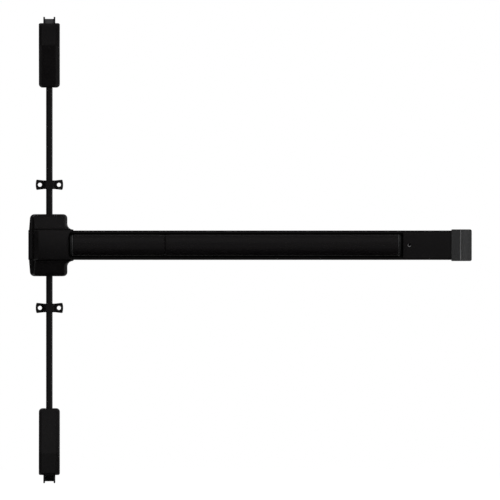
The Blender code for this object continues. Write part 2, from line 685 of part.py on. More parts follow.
def lifter(name, side):
    """A bell crank of the centre case: the drive bar's X travel in, a rod's Z travel out."""
    pivot = (LIFTER_PIVOT_X, side * LIFTER_PIVOT_Z)
    rod_tip = (pivot[0] - LIFTER_ROD_ARM * math.cos(LIFTER_SWING), side * CONNECTOR_PIN_Z)
    bar_drop = LIFTER_BAR_ARM * math.cos(LIFTER_SWING)
    bar_tip = (pivot[0] - BAR_TRAVEL / 2, side * (LIFTER_PIVOT_Z - bar_drop))
    middle = -ROD_DEPTH
    half = LIFTER_THICKNESS / 2
    plate = prism(
        name, "Y", middle - half, middle + half,
        hull_outline([(*pivot, LIFTER_HUB_RADIUS), (*rod_tip, LIFTER_TIP_RADIUS),
                      (*bar_tip, LIFTER_BAR_TIP_RADIUS)]),
    )
    rod_pin_half = CONNECTOR_DEPTH / 2
    rod_pin = rod_along(name + "_rod_pin", "Y", middle - rod_pin_half, middle + rod_pin_half,
                        rod_tip, LIFTER_TIP_PIN_RADIUS)
    bar_pin = rod_along(name + "_bar_pin", "Y", middle, middle + half + BAR_SIDE_GAP + YOKE_THICKNESS,
                        bar_tip, LIFTER_TIP_PIN_RADIUS)
    bore = rod_along(name + "_bore", "Y", middle - 2 * half, middle + 2 * half, pivot,
                     LIFTER_PIN_RADIUS + SHAFT_CLEARANCE)
    cut(join(plate, rod_pin, bar_pin), bore)
    finish(plate, bare_steel("crank_steel"), (pivot[0], middle, pivot[1]))

    low = middle - half - LIFTER_PIN_STANDOFF
    pin = rod_along(name + "_pin", "Y", low, BASE_FRONT - SEAT, pivot, LIFTER_PIN_RADIUS)
    collar = rod_along(name + "_pin_collar", "Y", middle + half + SEAT, BASE_FRONT - SEAT, pivot,
                       LIFTER_PIN_RADIUS + LIFTER_COLLAR)
    finish(join(pin, collar), bare_steel("pin_steel"), (pivot[0], middle, pivot[1]))


def hexagon(across_flats):
    """A hexagon's corner radius, with its flats facing front and back when a corner lies on the X axis."""
    return across_flats / 2 / math.cos(math.pi / 6)


def upright(name, side, near, far, radius, sides=ROUND_SIDES):
    """A vertical bar on the rod line between two heights measured from the bar's centre line."""
    low, high = sorted((side * near, side * far))
    return rod_along(name, "Z", low, high, (0.0, -ROD_DEPTH), radius, sides)


def rod_set(name, side, length):
    """A rod with its clevis in the centre case and the lock nut between them."""
    slip = LIFTER_ROD_ARM * (1 - math.cos(LIFTER_SWING)) / 2
    pin_z = side * CONNECTOR_PIN_Z
    half = CONNECTOR_WIDTH / 2
    foot, head = pin_z - side * CONNECTOR_FOOT, pin_z + side * CONNECTOR_HEAD
    bore = LIFTER_TIP_PIN_RADIUS + SHAFT_CLEARANCE
    clevis = prism(
        name + "_clevis", "Y", -ROD_DEPTH - CONNECTOR_DEPTH / 2, -ROD_DEPTH + CONNECTOR_DEPTH / 2,
        box_outline(-half, half, min(foot, head), max(foot, head), SMALL_CORNER),
        [slot_outline(0.0, pin_z, bore, half_u=slip)],
    )
    slot_end = pin_z + side * CONNECTOR_SLOT_REACH
    slot_foot = foot - side * OVERLAP
    slot = box(name + "_clevis_slot", (-CONNECTOR_WIDTH, CONNECTOR_WIDTH),
               (-ROD_DEPTH - CONNECTOR_SLOT / 2, -ROD_DEPTH + CONNECTOR_SLOT / 2),
               (min(slot_foot, slot_end), max(slot_foot, slot_end)))
    cut(clevis, slot)
    stud_end = ROD_START_Z + STUD_ENGAGEMENT
    join(clevis, upright(name + "_clevis_stud", side, abs(head) - OVERLAP, stud_end, STUD_RADIUS))
    finish(clevis, dark_steel("clevis_steel"), (0.0, -ROD_DEPTH, pin_z))

    lock_nut(name + "_lower_nut", side, abs(head) + SEAT)

    end = ROD_START_Z + length
    rod = upright(name, side, ROD_START_Z, end, ROD_CORNER_RADIUS, 6)
    depth = STUD_ENGAGEMENT + OVERLAP
    cut(rod, upright(name + "_inner_bore", side, ROD_START_Z - OVERLAP, ROD_START_Z + depth, STUD_BORE))
    cut(rod, upright(name + "_outer_bore", side, end - depth, end + OVERLAP, STUD_BORE))
    finish(rod, black_coat("rod_black"), (0.0, -ROD_DEPTH, side * ROD_START_Z))


def lock_nut(name, side, near):
    """A hexagonal nut round the stud between a rod and what it is screwed to."""
    nut = upright(name, side, near, near + NUT_HEIGHT, hexagon(NUT_ACROSS_FLATS), 6)
    cut(nut, upright(name + "_bore", side, near - OVERLAP, near + NUT_HEIGHT + OVERLAP, STUD_BORE))
    finish(nut, bare_steel("nut_steel"), (0.0, -ROD_DEPTH, side * near))


def guide_outline():
    """The guide's outline seen from the front: narrow at the saddle, with a bulging edge on each foot."""
    waist, end = GUIDE_WAIST / 2, GUIDE_HEIGHT / 2
    shoulder = GUIDE_LENGTH / 2 - GUIDE_END_BULGE
    bulge_radius = (end**2 + GUIDE_END_BULGE**2) / (2 * GUIDE_END_BULGE)
    bulge = []
    for k in range(1, ARC_STEPS):
        v = end * (2 * k / ARC_STEPS - 1)
        bulge.append((GUIDE_LENGTH / 2 - bulge_radius + math.sqrt(bulge_radius**2 - v**2), v, 0))
    foot = [(shoulder, -end, GUIDE_CORNER), *bulge, (shoulder, end, GUIDE_CORNER)]
    waist_right = [(GUIDE_RISER_FOOT, waist, GUIDE_CORNER), (-GUIDE_RISER_FOOT, waist, GUIDE_CORNER)]
    return foot + waist_right + [(-u, -v, radius) for u, v, radius in foot + waist_right]


def guide(name, height):
    """A strap bent over the rod, cut to a bow-tie outline with a screw hole in each foot."""
    saddle = -(ROD_DEPTH + ROD_ACROSS_FLATS / 2 + SHAFT_CLEARANCE + GUIDE_THICKNESS)
    foot = -GUIDE_THICKNESS
    wall = GUIDE_THICKNESS
    half = GUIDE_LENGTH / 2
    riser = GUIDE_RISER_FOOT
    right = [(half, 0, 0), (half, foot, 0), (riser + wall, foot, wall),
             (GUIDE_SADDLE_HALF + wall, saddle, wall)]
    left = [(-u, v, radius) for u, v, radius in reversed(right)]
    under = [(-riser, 0, 0), (-GUIDE_SADDLE_HALF, saddle + wall, SMALL_ROUND),
             (GUIDE_SADDLE_HALF, saddle + wall, SMALL_ROUND), (riser, 0, 0)]
    strap = prism(name, "Z", height - GUIDE_HEIGHT, height + GUIDE_HEIGHT, fillet(right + left + under))
    holes = [circle(side * GUIDE_HOLE_SPACING / 2, height, GUIDE_HOLE_RADIUS) for side in (1, -1)]
    outline = [Vector((u, height + v)) for u, v in fillet(guide_outline())]
    blank = prism(name + "_outline", "Y", saddle - CUT_PAST, CUT_PAST, outline, holes)
    combine(strap, blank, "INTERSECT")
    finish(strap, black_coat("guide_black"))


def mounting_plate():
    """The centre case's steel plate, with a flange above and below that guides the rods."""
    places = [(x, z) for x in (-MOUNT_HOLE_X, MOUNT_HOLE_X) for z in (-MOUNT_HOLE_Z, MOUNT_HOLE_Z)]
    plate = prism(
        "mounting_plate", "Y", -MOUNT_THICKNESS, 0.0,
        box_outline(-MOUNT_LEFT, MOUNT_RIGHT, -MOUNT_HALF_HEIGHT, MOUNT_HALF_HEIGHT, MOUNT_CORNER),
        [circle(x, z, MOUNT_HOLE_RADIUS) for x, z in places],
    )
    rod_half = ROD_CORNER_RADIUS + SHAFT_CLEARANCE
    rod_flat = ROD_ACROSS_FLATS / 2 + SHAFT_CLEARANCE
    for side, label in ((1, "top"), (-1, "bottom")):
        outer = side * (MOUNT_HALF_HEIGHT - FLANGE_FROM_EDGE)
        inner = outer - side * FLANGE_THICKNESS
        flange = prism(
            label + "_rod_flange", "Z", min(inner, outer), max(inner, outer),
            box_outline(-FLANGE_HALF_WIDTH, FLANGE_HALF_WIDTH, -FLANGE_REACH, -MOUNT_THICKNESS / 2),
            [box_outline(-rod_half, rod_half, -ROD_DEPTH - rod_flat, -ROD_DEPTH + rod_flat)],
        )
        join(plate, flange)
    finish(plate, dark_steel("mount_steel"))


def cover_section(z, wall):
    """The cover's section at a height: a shelf along the left, a leaning brow and the raised front."""
    distance = abs(z)
    to_end = COVER_HALF_HEIGHT - wall - distance
    side_inset = corner_inset(to_end, COVER_END_CORNER - wall)
    front_inset = corner_inset(to_end, COVER_END_ROUND - wall)
    lobe_start = BAND_HALF + BAND_STEP
    slope = ramp(distance, lobe_start, COVER_HALF_HEIGHT)
    front = -(COVER_SHOULDER_DEPTH - slope * (COVER_SHOULDER_DEPTH - COVER_END_DEPTH))
    shelf = front + COVER_SHELF_BACK - slope * (COVER_SHELF_BACK - COVER_SHELF_BACK_AT_END)
    brow_round = COVER_BROW_ROUND
    left = -COVER_LEFT + slope * COVER_LEFT_TAPER
    right = COVER_RIGHT
    right_round = COVER_RIGHT_ROUND
    if wall == 0 and distance > BAND_HALF:
        right += corner_inset(distance - BAND_HALF, BAND_FILLET) * (NECK_END - COVER_RIGHT) / BAND_FILLET
    elif wall == 0:
        left = -COVER_LEFT - BAND_STEP
        front = -(BAND_DEPTH - BAND_CROWN * (distance / BAND_HALF) ** 2)
        if z < 0:
            front += corner_inset(BAND_HALF - distance, BAND_UNDER_ROUND)
        shelf -= BAND_STEP
        brow_round = BAND_BROW_ROUND
        right = NECK_END
        right_round = BAND_SHOULDER_ROUND
    left += wall + side_inset
    right -= wall + side_inset
    front += wall + front_inset
    shelf += wall + front_inset
    foot = max(wall - COVER_SHELF_FOOT, left + COVER_SHELF_EDGE + SMALL_CORNER)
    brow = foot + COVER_SHELF_LEAN * (shelf - front)
    brow_round = min(brow_round, shelf - front) - wall
    back = CUT_PAST if wall else 0.0
    return fillet([(left, back, 0), (left, shelf, max(COVER_SHELF_EDGE - wall, SMALL_ROUND)),
                   (foot, shelf, 0), (brow, front, max(brow_round, SMALL_ROUND)),
                   (right, front, right_round - min(wall, right_round / 2)), (right, back, 0)])


def cover_heights(wall):
    """Heights of the cover's sections: the rounded ends, the lobes, the fillets and the band."""
    end = COVER_HALF_HEIGHT - wall
    reach = {0.0}
    reach.update(end - d for d in end_distances(COVER_END_CORNER - wall))
    reach.update(end - d for d in end_distances(COVER_END_ROUND - wall))
    if wall == 0:
        reach.update(BAND_HALF + BAND_EDGE + d for d in end_distances(BAND_FILLET))
        reach.update(BAND_HALF - d for d in end_distances(BAND_UNDER_ROUND))
        reach.update(BAND_HALF * share for share in (0.35, 0.7))
    spread = sorted(reach)
    kept = [spread[0]]
    for height in spread[1:]:
        if height - kept[-1] > SAME_SECTION:
            kept.append(height)
    return [-height for height in reversed(kept[1:])] + kept


def centre_cover():
    """The centre case's one-piece cover: hollow, slotted for the rods and cut away round the pad's end."""
    cover = loft("centre_cover", cover_heights(0.0), lambda z: cover_section(z, 0.0))
    cavity = loft("cover_cavity", cover_heights(COVER_WALL), lambda z: cover_section(z, COVER_WALL))
    rail_way = box("cover_rail_way", (COVER_RIGHT - 2 * COVER_WALL, NECK_END + CUT_PAST),
                   (-RAIL_DEPTH - SEAT, CUT_PAST), (-RAIL_HALF - SEAT, RAIL_HALF + SEAT))
    reach = NECK_END + NECK_HOLLOW_CORNER
    hollow_half = RAIL_HALF + SEAT
    hollow = prism(
        "cover_pad_hollow", "Y", -BAND_DEPTH - CUT_PAST, -RAIL_DEPTH,
        fillet([(NECK_HOLLOW_START, -hollow_half, NECK_HOLLOW_CORNER), (reach, -hollow_half, 0),
                (reach, hollow_half, 0), (NECK_HOLLOW_START, hollow_half, NECK_HOLLOW_CORNER)]),
    )
    slot_half = ROD_CORNER_RADIUS + ROD_SLOT_SIDE
    slot_front = -(ROD_DEPTH + ROD_ACROSS_FLATS / 2 + ROD_SLOT_SIDE)
    slot_reach = COVER_HALF_HEIGHT + CUT_PAST
    rod_way = box("cover_rod_way", (-slot_half, slot_half), (slot_front, CUT_PAST), (-slot_reach, slot_reach))
    cut(cover, cavity, rail_way, hollow, rod_way)
    finish(cover, black_coat("cover_black"))


def cover_plate():
    """The flat plate over the rail beyond the pad, with the dogging key's hole."""
    half = PLATE_HEIGHT / 2
    front = -(RAIL_DEPTH + SEAT + PLATE_THICKNESS)
    plate = prism("cover_plate", "Y", front, front + PLATE_THICKNESS,
                  box_outline(PLATE_START, RAIL_END, -half, half, PLATE_CORNER),
                  [circle(PLATE_START + DOGGING_FROM_PLATE, 0.0, DOGGING_HOLE_RADIUS)])
    soften(plate, PLATE_EDGE)
    finish(plate, black_coat("plate_black"))


def dogging():
    """The key-turned screw that holds the pad in, and the block that carries it on the base plate."""
    x = PLATE_START + DOGGING_FROM_PLATE
    head_front = -(RAIL_DEPTH - RAIL_LIP_THICKNESS)
    head_back = head_front + DOGGING_HEAD_HEIGHT
    shank_end = head_back + DOGGING_SHANK_LENGTH
    screw = rod_along("dogging_screw", "Y", head_front, head_back, (x, 0.0), DOGGING_HEAD_RADIUS)
    shank = rod_along("dogging_shank", "Y", head_back - OVERLAP, shank_end, (x, 0.0), DOGGING_SHANK_RADIUS)
    key = rod_along("dogging_key_socket", "Y", head_front - OVERLAP, head_front + DOGGING_KEY_DEPTH,
                    (x, 0.0), hexagon(DOGGING_KEY_ACROSS_FLATS), 6)
    cut(join(screw, shank), key)
    finish(screw, bare_steel("dogging_steel"), (x, head_front, 0.0))

    half_height = DOGGING_BLOCK_HEIGHT / 2
    block = box("dogging_block", (x - DOGGING_BLOCK_HALF_LENGTH, x + DOGGING_BLOCK_HALF_LENGTH),
                (head_back + SEAT, BASE_FRONT - SEAT), (-half_height, half_height))
    bore = rod_along("dogging_bore", "Y", head_back - CUT_PAST, shank_end + OVERLAP, (x, 0.0),
                     DOGGING_SHANK_RADIUS + SHAFT_CLEARANCE)
    cut(block, bore)
    finish(block, dark_steel("block_steel"))


def end_cap_outline(wall):
    """The end cap's section in X and Y: flat front, then a slope from the ridge to the nose."""
    start = END_CAP_START - (CUT_PAST if wall else 0)
    front = END_CAP_FRONT + wall
    end = END_CAP_START + END_CAP_LENGTH - wall
    return fillet([(start, CUT_PAST, 0), (start, front, 0), (END_CAP_START + END_CAP_RIDGE, front, 0),
                   (end, -END_CAP_NOSE_DEPTH + wall, END_CAP_NOSE_ROUND), (end, CUT_PAST, 0)])


def end_cap():
    """The cap over the rail's far end, open towards the door, and the bracket that it fixes to."""
    inner_half = RAIL_HALF + SEAT
    outer_half = inner_half + END_CAP_WALL
    cap = prism("end_cap", "Z", -outer_half, outer_half, end_cap_outline(0.0))
    soften(cap, END_CAP_EDGE)
    ridge = END_CAP_START + END_CAP_RIDGE
    bead_half = outer_half - END_CAP_EDGE
    bead = prism("end_cap_bead", "Z", -bead_half, bead_half, [
        Vector((ridge - END_CAP_BEAD_HALF, END_CAP_FRONT + OVERLAP)),
        Vector((ridge + END_CAP_BEAD_HALF, END_CAP_FRONT + OVERLAP)),
        Vector((ridge + END_CAP_BEAD_HALF / 2, END_CAP_FRONT - END_CAP_BEAD_HEIGHT)),
        Vector((ridge - END_CAP_BEAD_HALF / 2, END_CAP_FRONT - END_CAP_BEAD_HEIGHT)),
    ])
    join(cap, bead)
    hollow = prism("end_cap_hollow", "Z", -inner_half, inner_half, end_cap_outline(END_CAP_WALL))
    back_reach = END_CAP_START + END_CAP_LENGTH + CUT_PAST
    back = box("end_cap_back", (END_CAP_START - CUT_PAST, back_reach), (0.0, 2 * CUT_PAST),
               (-outer_half - CUT_PAST, outer_half + CUT_PAST))
    cut(cap, hollow, back)
    finish(cap, charcoal("end_cap_grey"))

    start = RAIL_END + SEAT
    half = END_BRACKET_HEIGHT / 2
    bracket = prism("end_cap_bracket", "Z", -half, half,
                    fillet([(start, 0, 0), (start, -END_BRACKET_DEPTH, 0),
                            (start + RAIL_WALL, -END_BRACKET_DEPTH, 0),
                            (start + RAIL_WALL, -RAIL_WALL, RAIL_WALL),
                            (start + END_BRACKET_LENGTH, -RAIL_WALL, 0),
                            (start + END_BRACKET_LENGTH, 0, 0)]))
    finish(bracket, dark_steel("bracket_steel"))


class Latch:
    """Places along a latch: distances run from the case's bolt end towards the rod."""

    def __init__(self, name, side, case_length, cheek_reach, bolt_reach, rod_length):
        self.name = name
        self.side = side
        self.length = case_length
        self.cheek_reach = cheek_reach
        self.bolt_reach = bolt_reach
        self.bolt_end = ROD_START_Z + rod_length + ROD_END_FROM_END

    def z(self, distance):
        return self.side * (self.bolt_end - distance)

    def span(self, near, far):
        return sorted((self.z(near), self.z(far)))

    def depth(self, distance):
        """How far the cover's front stands off the door: full over the bolt, then sloping back to the rod."""
        slope = ramp(distance, LATCH_FLAT_LENGTH, self.length)
        return LATCH_DEPTH - slope * (LATCH_DEPTH - LATCH_ROD_END_DEPTH)

    def cheek_depth(self):
        return self.depth(BRIDGE_FROM_END + BRIDGE_THICKNESS) - LATCH_WALL - CHEEK_TO_COVER


def latch_frame(latch):
    """The latch's back plate with two cheeks that reach past the case, and a bridge for the bolt's stem."""
    inner = CHEEK_OUTER_WIDTH / 2 - CHEEK_THICKNESS
    half = LATCH_WIDTH / 2 - LATCH_WALL - SEAT
    low, high = latch.span(LATCH_WALL + SEAT, latch.length - LATCH_WALL - SEAT)
    hole_x = half - LATCH_HOLE_INSET
    places = [(x, latch.z(distance)) for x in (-hole_x, hole_x)
              for distance in (LATCH_HOLE_FROM_END, latch.length - LATCH_HOLE_FROM_END)]
    holes = [circle(x, z, LATCH_HOLE_RADIUS) for x, z in places]
    corners = [(-half, low), (half, low), (half, high), (-half, high)]
    rod_end = high if latch.side < 0 else low
    rounds = {True: LATCH_ROD_END_CORNER, False: LATCH_BOLT_END_CORNER}
    outline = fillet([(x, z, rounds[z == rod_end]) for x, z in corners])
    frame = prism(latch.name + "_latch_frame", "Y", -LATCH_PLATE_THICKNESS, 0.0, outline, holes)
    bridge_end = BRIDGE_FROM_END + BRIDGE_THICKNESS
    depth = latch.cheek_depth()
    for x, label in ((-inner - CHEEK_THICKNESS, "left"), (inner, "right")):
        tip, tail = latch.z(-latch.cheek_reach), latch.z(bridge_end)
        cheek = prism(
            latch.name + "_" + label + "_cheek", "X", x, x + CHEEK_THICKNESS,
            fillet([(-OVERLAP, tail, 0), (-depth, tail, CHEEK_NOSE), (-depth, tip, CHEEK_NOSE),
                    (-OVERLAP, tip, CHEEK_NOSE)]),
        )
        join(frame, cheek)
    bridge = prism(latch.name + "_bridge", "Z", *latch.span(BRIDGE_FROM_END, bridge_end),
                   box_outline(-inner - OVERLAP, inner + OVERLAP, -depth + CHEEK_NOSE / 2, -OVERLAP),
                   [circle(0.0, -ROD_DEPTH, STEM_RADIUS + SHAFT_CLEARANCE)])
    join(frame, bridge)
    finish(frame, dark_steel("latch_steel"))


def latch_bolt(latch, mat):
    """The bevelled bolt between the cheeks, in one piece with the stem and stud that the rod pulls."""
    half = CHEEK_OUTER_WIDTH / 2 - CHEEK_THICKNESS - SEAT
    tip = latch.z(-latch.bolt_reach)
    bevel = latch.z(-latch.bolt_reach + BOLT_BEVEL_LENGTH)
    base = latch.z(BOLT_SHANK)
    front = -latch.cheek_depth() + BOLT_SET_BACK
    bolt = prism(
        latch.name + "_bolt", "X", -half, half,
        fillet([(-BOLT_BACK, base, 0), (front, base, 0), (front, bevel, 0),
                (front + BOLT_BEVEL_DEPTH, tip, BOLT_TIP_ROUND), (-BOLT_BACK, tip, SMALL_CORNER)]),
    )
    nut_start = ROD_END_FROM_END - SEAT - NUT_HEIGHT - SEAT
    low, high = latch.span(BOLT_SHANK - OVERLAP, nut_start)
    stem = rod_along(latch.name + "_stem", "Z", low, high, (0.0, -ROD_DEPTH), STEM_RADIUS)
    low, high = latch.span(nut_start - OVERLAP, ROD_END_FROM_END + STUD_ENGAGEMENT)
    stud = rod_along(latch.name + "_stud", "Z", low, high, (0.0, -ROD_DEPTH), STUD_RADIUS)
    finish(join(bolt, stem, stud), mat, (0.0, -ROD_DEPTH, tip))


def latch_spring(latch):
    """The compression spring round the stem, between the bridge and the bolt."""
    radius = STEM_RADIUS + SPRING_GAP + SPRING_WIRE_RADIUS
    margin = SEAT + SPRING_WIRE_RADIUS
    near, far = latch.span(BOLT_SHANK + margin, BRIDGE_FROM_END - margin)
    count = SPRING_TURNS * COIL_STEPS
    curve = bpy.data.curves.new(latch.name + "_latch_spring", "CURVE")
    curve.dimensions = "3D"
    curve.bevel_depth = SPRING_WIRE_RADIUS
    curve.bevel_resolution = 2
    curve.use_fill_caps = True
    spline = curve.splines.new("POLY")
    spline.points.add(count)
    for k, point in enumerate(spline.points):
        angle = 2 * math.pi * k / COIL_STEPS
        across, out = radius * math.cos(angle), radius * math.sin(angle)
        point.co = (across, -ROD_DEPTH + out, near + (far - near) * k / count, 1)
    spring = mesh_from_curve(latch.name + "_latch_spring", curve, Matrix.Identity(4))
    finish(spring, bare_steel("spring_steel"))


def latch_section(latch, z, wall):
    """The latch cover's section at a height, drawn in at both ends of the case."""
    distance = latch.bolt_end - abs(z)
    front = -latch.depth(distance)
    to_bolt_end = distance - wall
    to_rod_end = latch.length - wall - distance
    side_inset = (corner_inset(to_bolt_end, LATCH_BOLT_END_CORNER - wall)
                  + corner_inset(to_rod_end, LATCH_ROD_END_CORNER - wall))
    front_inset = min(corner_inset(min(to_bolt_end, to_rod_end), LATCH_END_ROUND - wall), LATCH_END_ROUND)
    half = LATCH_WIDTH / 2 - wall - side_inset
    rounding = LATCH_SIDE_ROUND - wall
    back = CUT_PAST if wall else 0.0
    front += wall + front_inset
    return fillet([(-half, back, 0), (-half, front, rounding), (half, front, rounding), (half, back, 0)])


def latch_heights(latch, wall):
    places = {LATCH_FLAT_LENGTH, LATCH_FLAT_LENGTH - LATCH_CREASE}
    places.update(wall + d for d in end_distances(LATCH_BOLT_END_CORNER - wall))
    places.update(latch.length - wall - d for d in end_distances(LATCH_ROD_END_CORNER - wall))
    places.update(latch.length - wall - d for d in end_distances(LATCH_END_ROUND - wall))
    spread = sorted(places)
    kept = [spread[0]]
    for place in spread[1:-1]:
        if place - kept[-1] > SAME_SECTION and spread[-1] - place > SAME_SECTION:
            kept.append(place)
    kept.append(spread[-1])
    return sorted(latch.z(place) for place in kept)


def latch_cover(latch):
    """The latch's hollow cover, open at the bolt end round the cheeks and slotted for the rod."""
    cover = loft(latch.name + "_latch_cover", latch_heights(latch, 0.0),
                 lambda z: latch_section(latch, z, 0.0))
    cavity = loft(latch.name + "_latch_cavity", latch_heights(latch, LATCH_WALL),
                  lambda z: latch_section(latch, z, LATCH_WALL))
    mouth_half = CHEEK_OUTER_WIDTH / 2 + SEAT
    mouth = box(latch.name + "_latch_mouth", (-mouth_half, mouth_half),
                (-latch.cheek_depth() - SEAT, CUT_PAST), latch.span(-CUT_PAST, LATCH_WALL + CUT_PAST))
    slot_half = ROD_CORNER_RADIUS + ROD_SLOT_SIDE
    slot_front = -(ROD_DEPTH + ROD_ACROSS_FLATS / 2 + ROD_SLOT_SIDE / 2)
    rod_way = box(latch.name + "_latch_rod_way", (-slot_half, slot_half), (slot_front, CUT_PAST),
                  latch.span(latch.length - LATCH_WALL - CUT_PAST, latch.length + CUT_PAST))
    cut(cover, cavity, mouth, rod_way)
    finish(cover, black_coat("latch_black"))


def build_latch(name, side, case_length, cheek_reach, bolt_reach, rod_length, bolt_material):
    latch = Latch(name, side, case_length, cheek_reach, bolt_reach, rod_length)
    latch_frame(latch)
    latch_bolt(latch, bolt_material)
    latch_spring(latch)
    latch_cover(latch)
    lock_nut(name + "_rod_upper_nut", side, latch.bolt_end - ROD_END_FROM_END + SEAT)


def main():
    clear_scene()
    mounting_plate()
    centre_cover()
    rail()
    base_plate()
    push_pad()
    for side, pivot_x in CRANK_XS.items():
        crank_bracket(side, pivot_x)
        bell_crank(side, pivot_x)
    drive_bar()
    lifter("upper_lifter", 1)
    lifter("lower_lifter", -1)
    rod_set("top_rod", 1, TOP_ROD_LENGTH)
    rod_set("bottom_rod", -1, BOTTOM_ROD_LENGTH)
    guide("top_guide", TOP_GUIDE_Z)
    guide("bottom_guide", BOTTOM_GUIDE_Z)
    cover_plate()
    dogging()
    end_cap()
    build_latch("top", 1, TOP_LATCH_LENGTH, TOP_CHEEK_REACH, TOP_BOLT_REACH, TOP_ROD_LENGTH,
                bare_steel("bolt_steel"))
    build_latch("bottom", -1, BOTTOM_LATCH_LENGTH, BOTTOM_CHEEK_REACH, BOTTOM_BOLT_REACH,
                BOTTOM_ROD_LENGTH, black_coat("bolt_black"))


main()
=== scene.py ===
"""The looks of a surface vertical rod exit device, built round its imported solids.

X runs along the push bar, Z is up, and the door's face is the plane Y = 0 behind the device, so
what stands a depth in front of the door has that depth as a negative Y. Lengths are in metres.
"""

import json
import math
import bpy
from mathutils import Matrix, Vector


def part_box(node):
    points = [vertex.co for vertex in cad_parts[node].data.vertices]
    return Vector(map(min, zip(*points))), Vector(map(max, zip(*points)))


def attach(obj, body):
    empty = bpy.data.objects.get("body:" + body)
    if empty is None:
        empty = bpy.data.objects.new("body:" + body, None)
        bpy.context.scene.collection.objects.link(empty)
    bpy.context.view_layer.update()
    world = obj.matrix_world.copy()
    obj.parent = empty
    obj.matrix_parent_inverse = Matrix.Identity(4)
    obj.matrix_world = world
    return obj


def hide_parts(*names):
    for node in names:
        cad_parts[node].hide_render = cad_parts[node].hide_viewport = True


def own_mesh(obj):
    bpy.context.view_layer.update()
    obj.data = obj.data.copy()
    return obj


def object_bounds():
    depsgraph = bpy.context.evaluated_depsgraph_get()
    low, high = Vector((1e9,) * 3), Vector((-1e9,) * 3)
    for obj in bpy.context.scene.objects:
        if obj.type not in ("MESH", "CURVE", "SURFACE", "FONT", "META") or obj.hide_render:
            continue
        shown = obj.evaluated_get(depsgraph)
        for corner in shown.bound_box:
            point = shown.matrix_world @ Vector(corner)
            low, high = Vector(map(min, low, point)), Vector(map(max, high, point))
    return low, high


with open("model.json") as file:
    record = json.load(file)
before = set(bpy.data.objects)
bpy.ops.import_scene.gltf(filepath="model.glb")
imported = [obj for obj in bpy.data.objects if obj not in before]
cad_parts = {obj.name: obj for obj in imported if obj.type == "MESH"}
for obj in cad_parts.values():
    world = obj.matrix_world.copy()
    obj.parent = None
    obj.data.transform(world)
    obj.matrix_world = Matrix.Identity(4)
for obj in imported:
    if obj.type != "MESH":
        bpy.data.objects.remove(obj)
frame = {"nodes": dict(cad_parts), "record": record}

from types import SimpleNamespace

import bmesh
import bpy
from mathutils import Matrix, Vector

MM = 0.001
CAD_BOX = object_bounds()
BODIES = frame["record"]["behaviour"]["bodies"]
BODY_OF = {node: body for body, nodes in BODIES.items() for node in nodes}

# Fineness of the round forms
ARC_STEPS = 10
CIRCLE_SIDES = 64
LEAST_STEP = 0.12 * MM
MERGE_REACH = 1e-6
FLAT_DEGREES = 0.2

# How far a cutting form reaches past what it cuts, and the clearance between fitted pieces
CUT_PAST = 5 * MM
SEAT = 0.3 * MM


# Outlines

def fillet(corners, steps=ARC_STEPS):
    """An outline from corners (u, v, radius): a corner with a radius becomes an arc."""
    outline = []
    count = len(corners)
    for i, (u, v, radius) in enumerate(corners):
        here = Vector((u, v))
        if radius <= 0:
            outline.append(here)
            continue
        before = (Vector(corners[i - 1][:2]) - here).normalized()
        after = (Vector(corners[(i + 1) % count][:2]) - here).normalized()
        half_angle = before.angle(after) / 2
        centre = here + (before + after).normalized() * (radius / math.sin(half_angle))
        start = here + before * (radius / math.tan(half_angle)) - centre
        sweep = start.angle_signed(here + after * (radius / math.tan(half_angle)) - centre)
        for step in range(steps + 1):
            outline.append(centre + Matrix.Rotation(-sweep * step / steps, 2) @ start)
    return outline


def circle(u, v, radius, sides=CIRCLE_SIDES):
    turns = [2 * math.pi * k / sides for k in range(sides)]
    return [Vector((u + radius * math.cos(t), v + radius * math.sin(t))) for t in turns]


def end_inset(distance, radius):
    """How far a rounded end has drawn in at a distance from the end."""
    if distance >= radius:
        return 0.0
    return radius - math.sqrt(max(0.0, radius**2 - (radius - distance) ** 2))


def end_steps(radius):
    """Distances from a rounded end at which its sections lie."""
    return [radius * (1 - math.cos(math.pi / 2 * k / ARC_STEPS)) for k in range(ARC_STEPS + 1)]


def ramp(value, low, high):
    """How far a value has come from low to high, from 0 to 1."""
    return min(1.0, max(0.0, (value - low) / (high - low)))


def thinned(places):
    """Sorted places with near repeats left out, the two ends kept."""
    ordered = sorted(places)
    kept = [ordered[0]]
    for place in ordered[1:-1]:
        if place - kept[-1] > LEAST_STEP and ordered[-1] - place > LEAST_STEP:
            kept.append(place)
    return kept + [ordered[-1]]


# Meshes

# Turns an outline drawn in X and Y into the plane across each axis
PLANES = {
    "X": Matrix(((0, 0, 1), (1, 0, 0), (0, 1, 0))),
    "Y": Matrix(((1, 0, 0), (0, 0, -1), (0, 1, 0))),
    "Z": Matrix(((1, 0, 0), (0, 1, 0), (0, 0, 1))),
}


def prism(axis, low, high, outline, holes=()):
    """A mesh of a filled outline, with holes, extruded along a world axis from low to high."""
    curve = bpy.data.curves.new("outline", "CURVE")
    curve.dimensions = "2D"
    curve.fill_mode = "BOTH"
    curve.extrude = (high - low) / 2
    for ring in (outline, *holes):
        spline = curve.splines.new("POLY")
        spline.points.add(len(ring) - 1)
        for point, (u, v) in zip(spline.points, ring):
            point.co = (u, v, 0, 1)
        spline.use_cyclic_u = True
    middle = Vector([(low + high) / 2 if axis == letter else 0 for letter in "XYZ"])
    return baked_curve(curve, Matrix.Translation(middle) @ PLANES[axis].to_4x4())


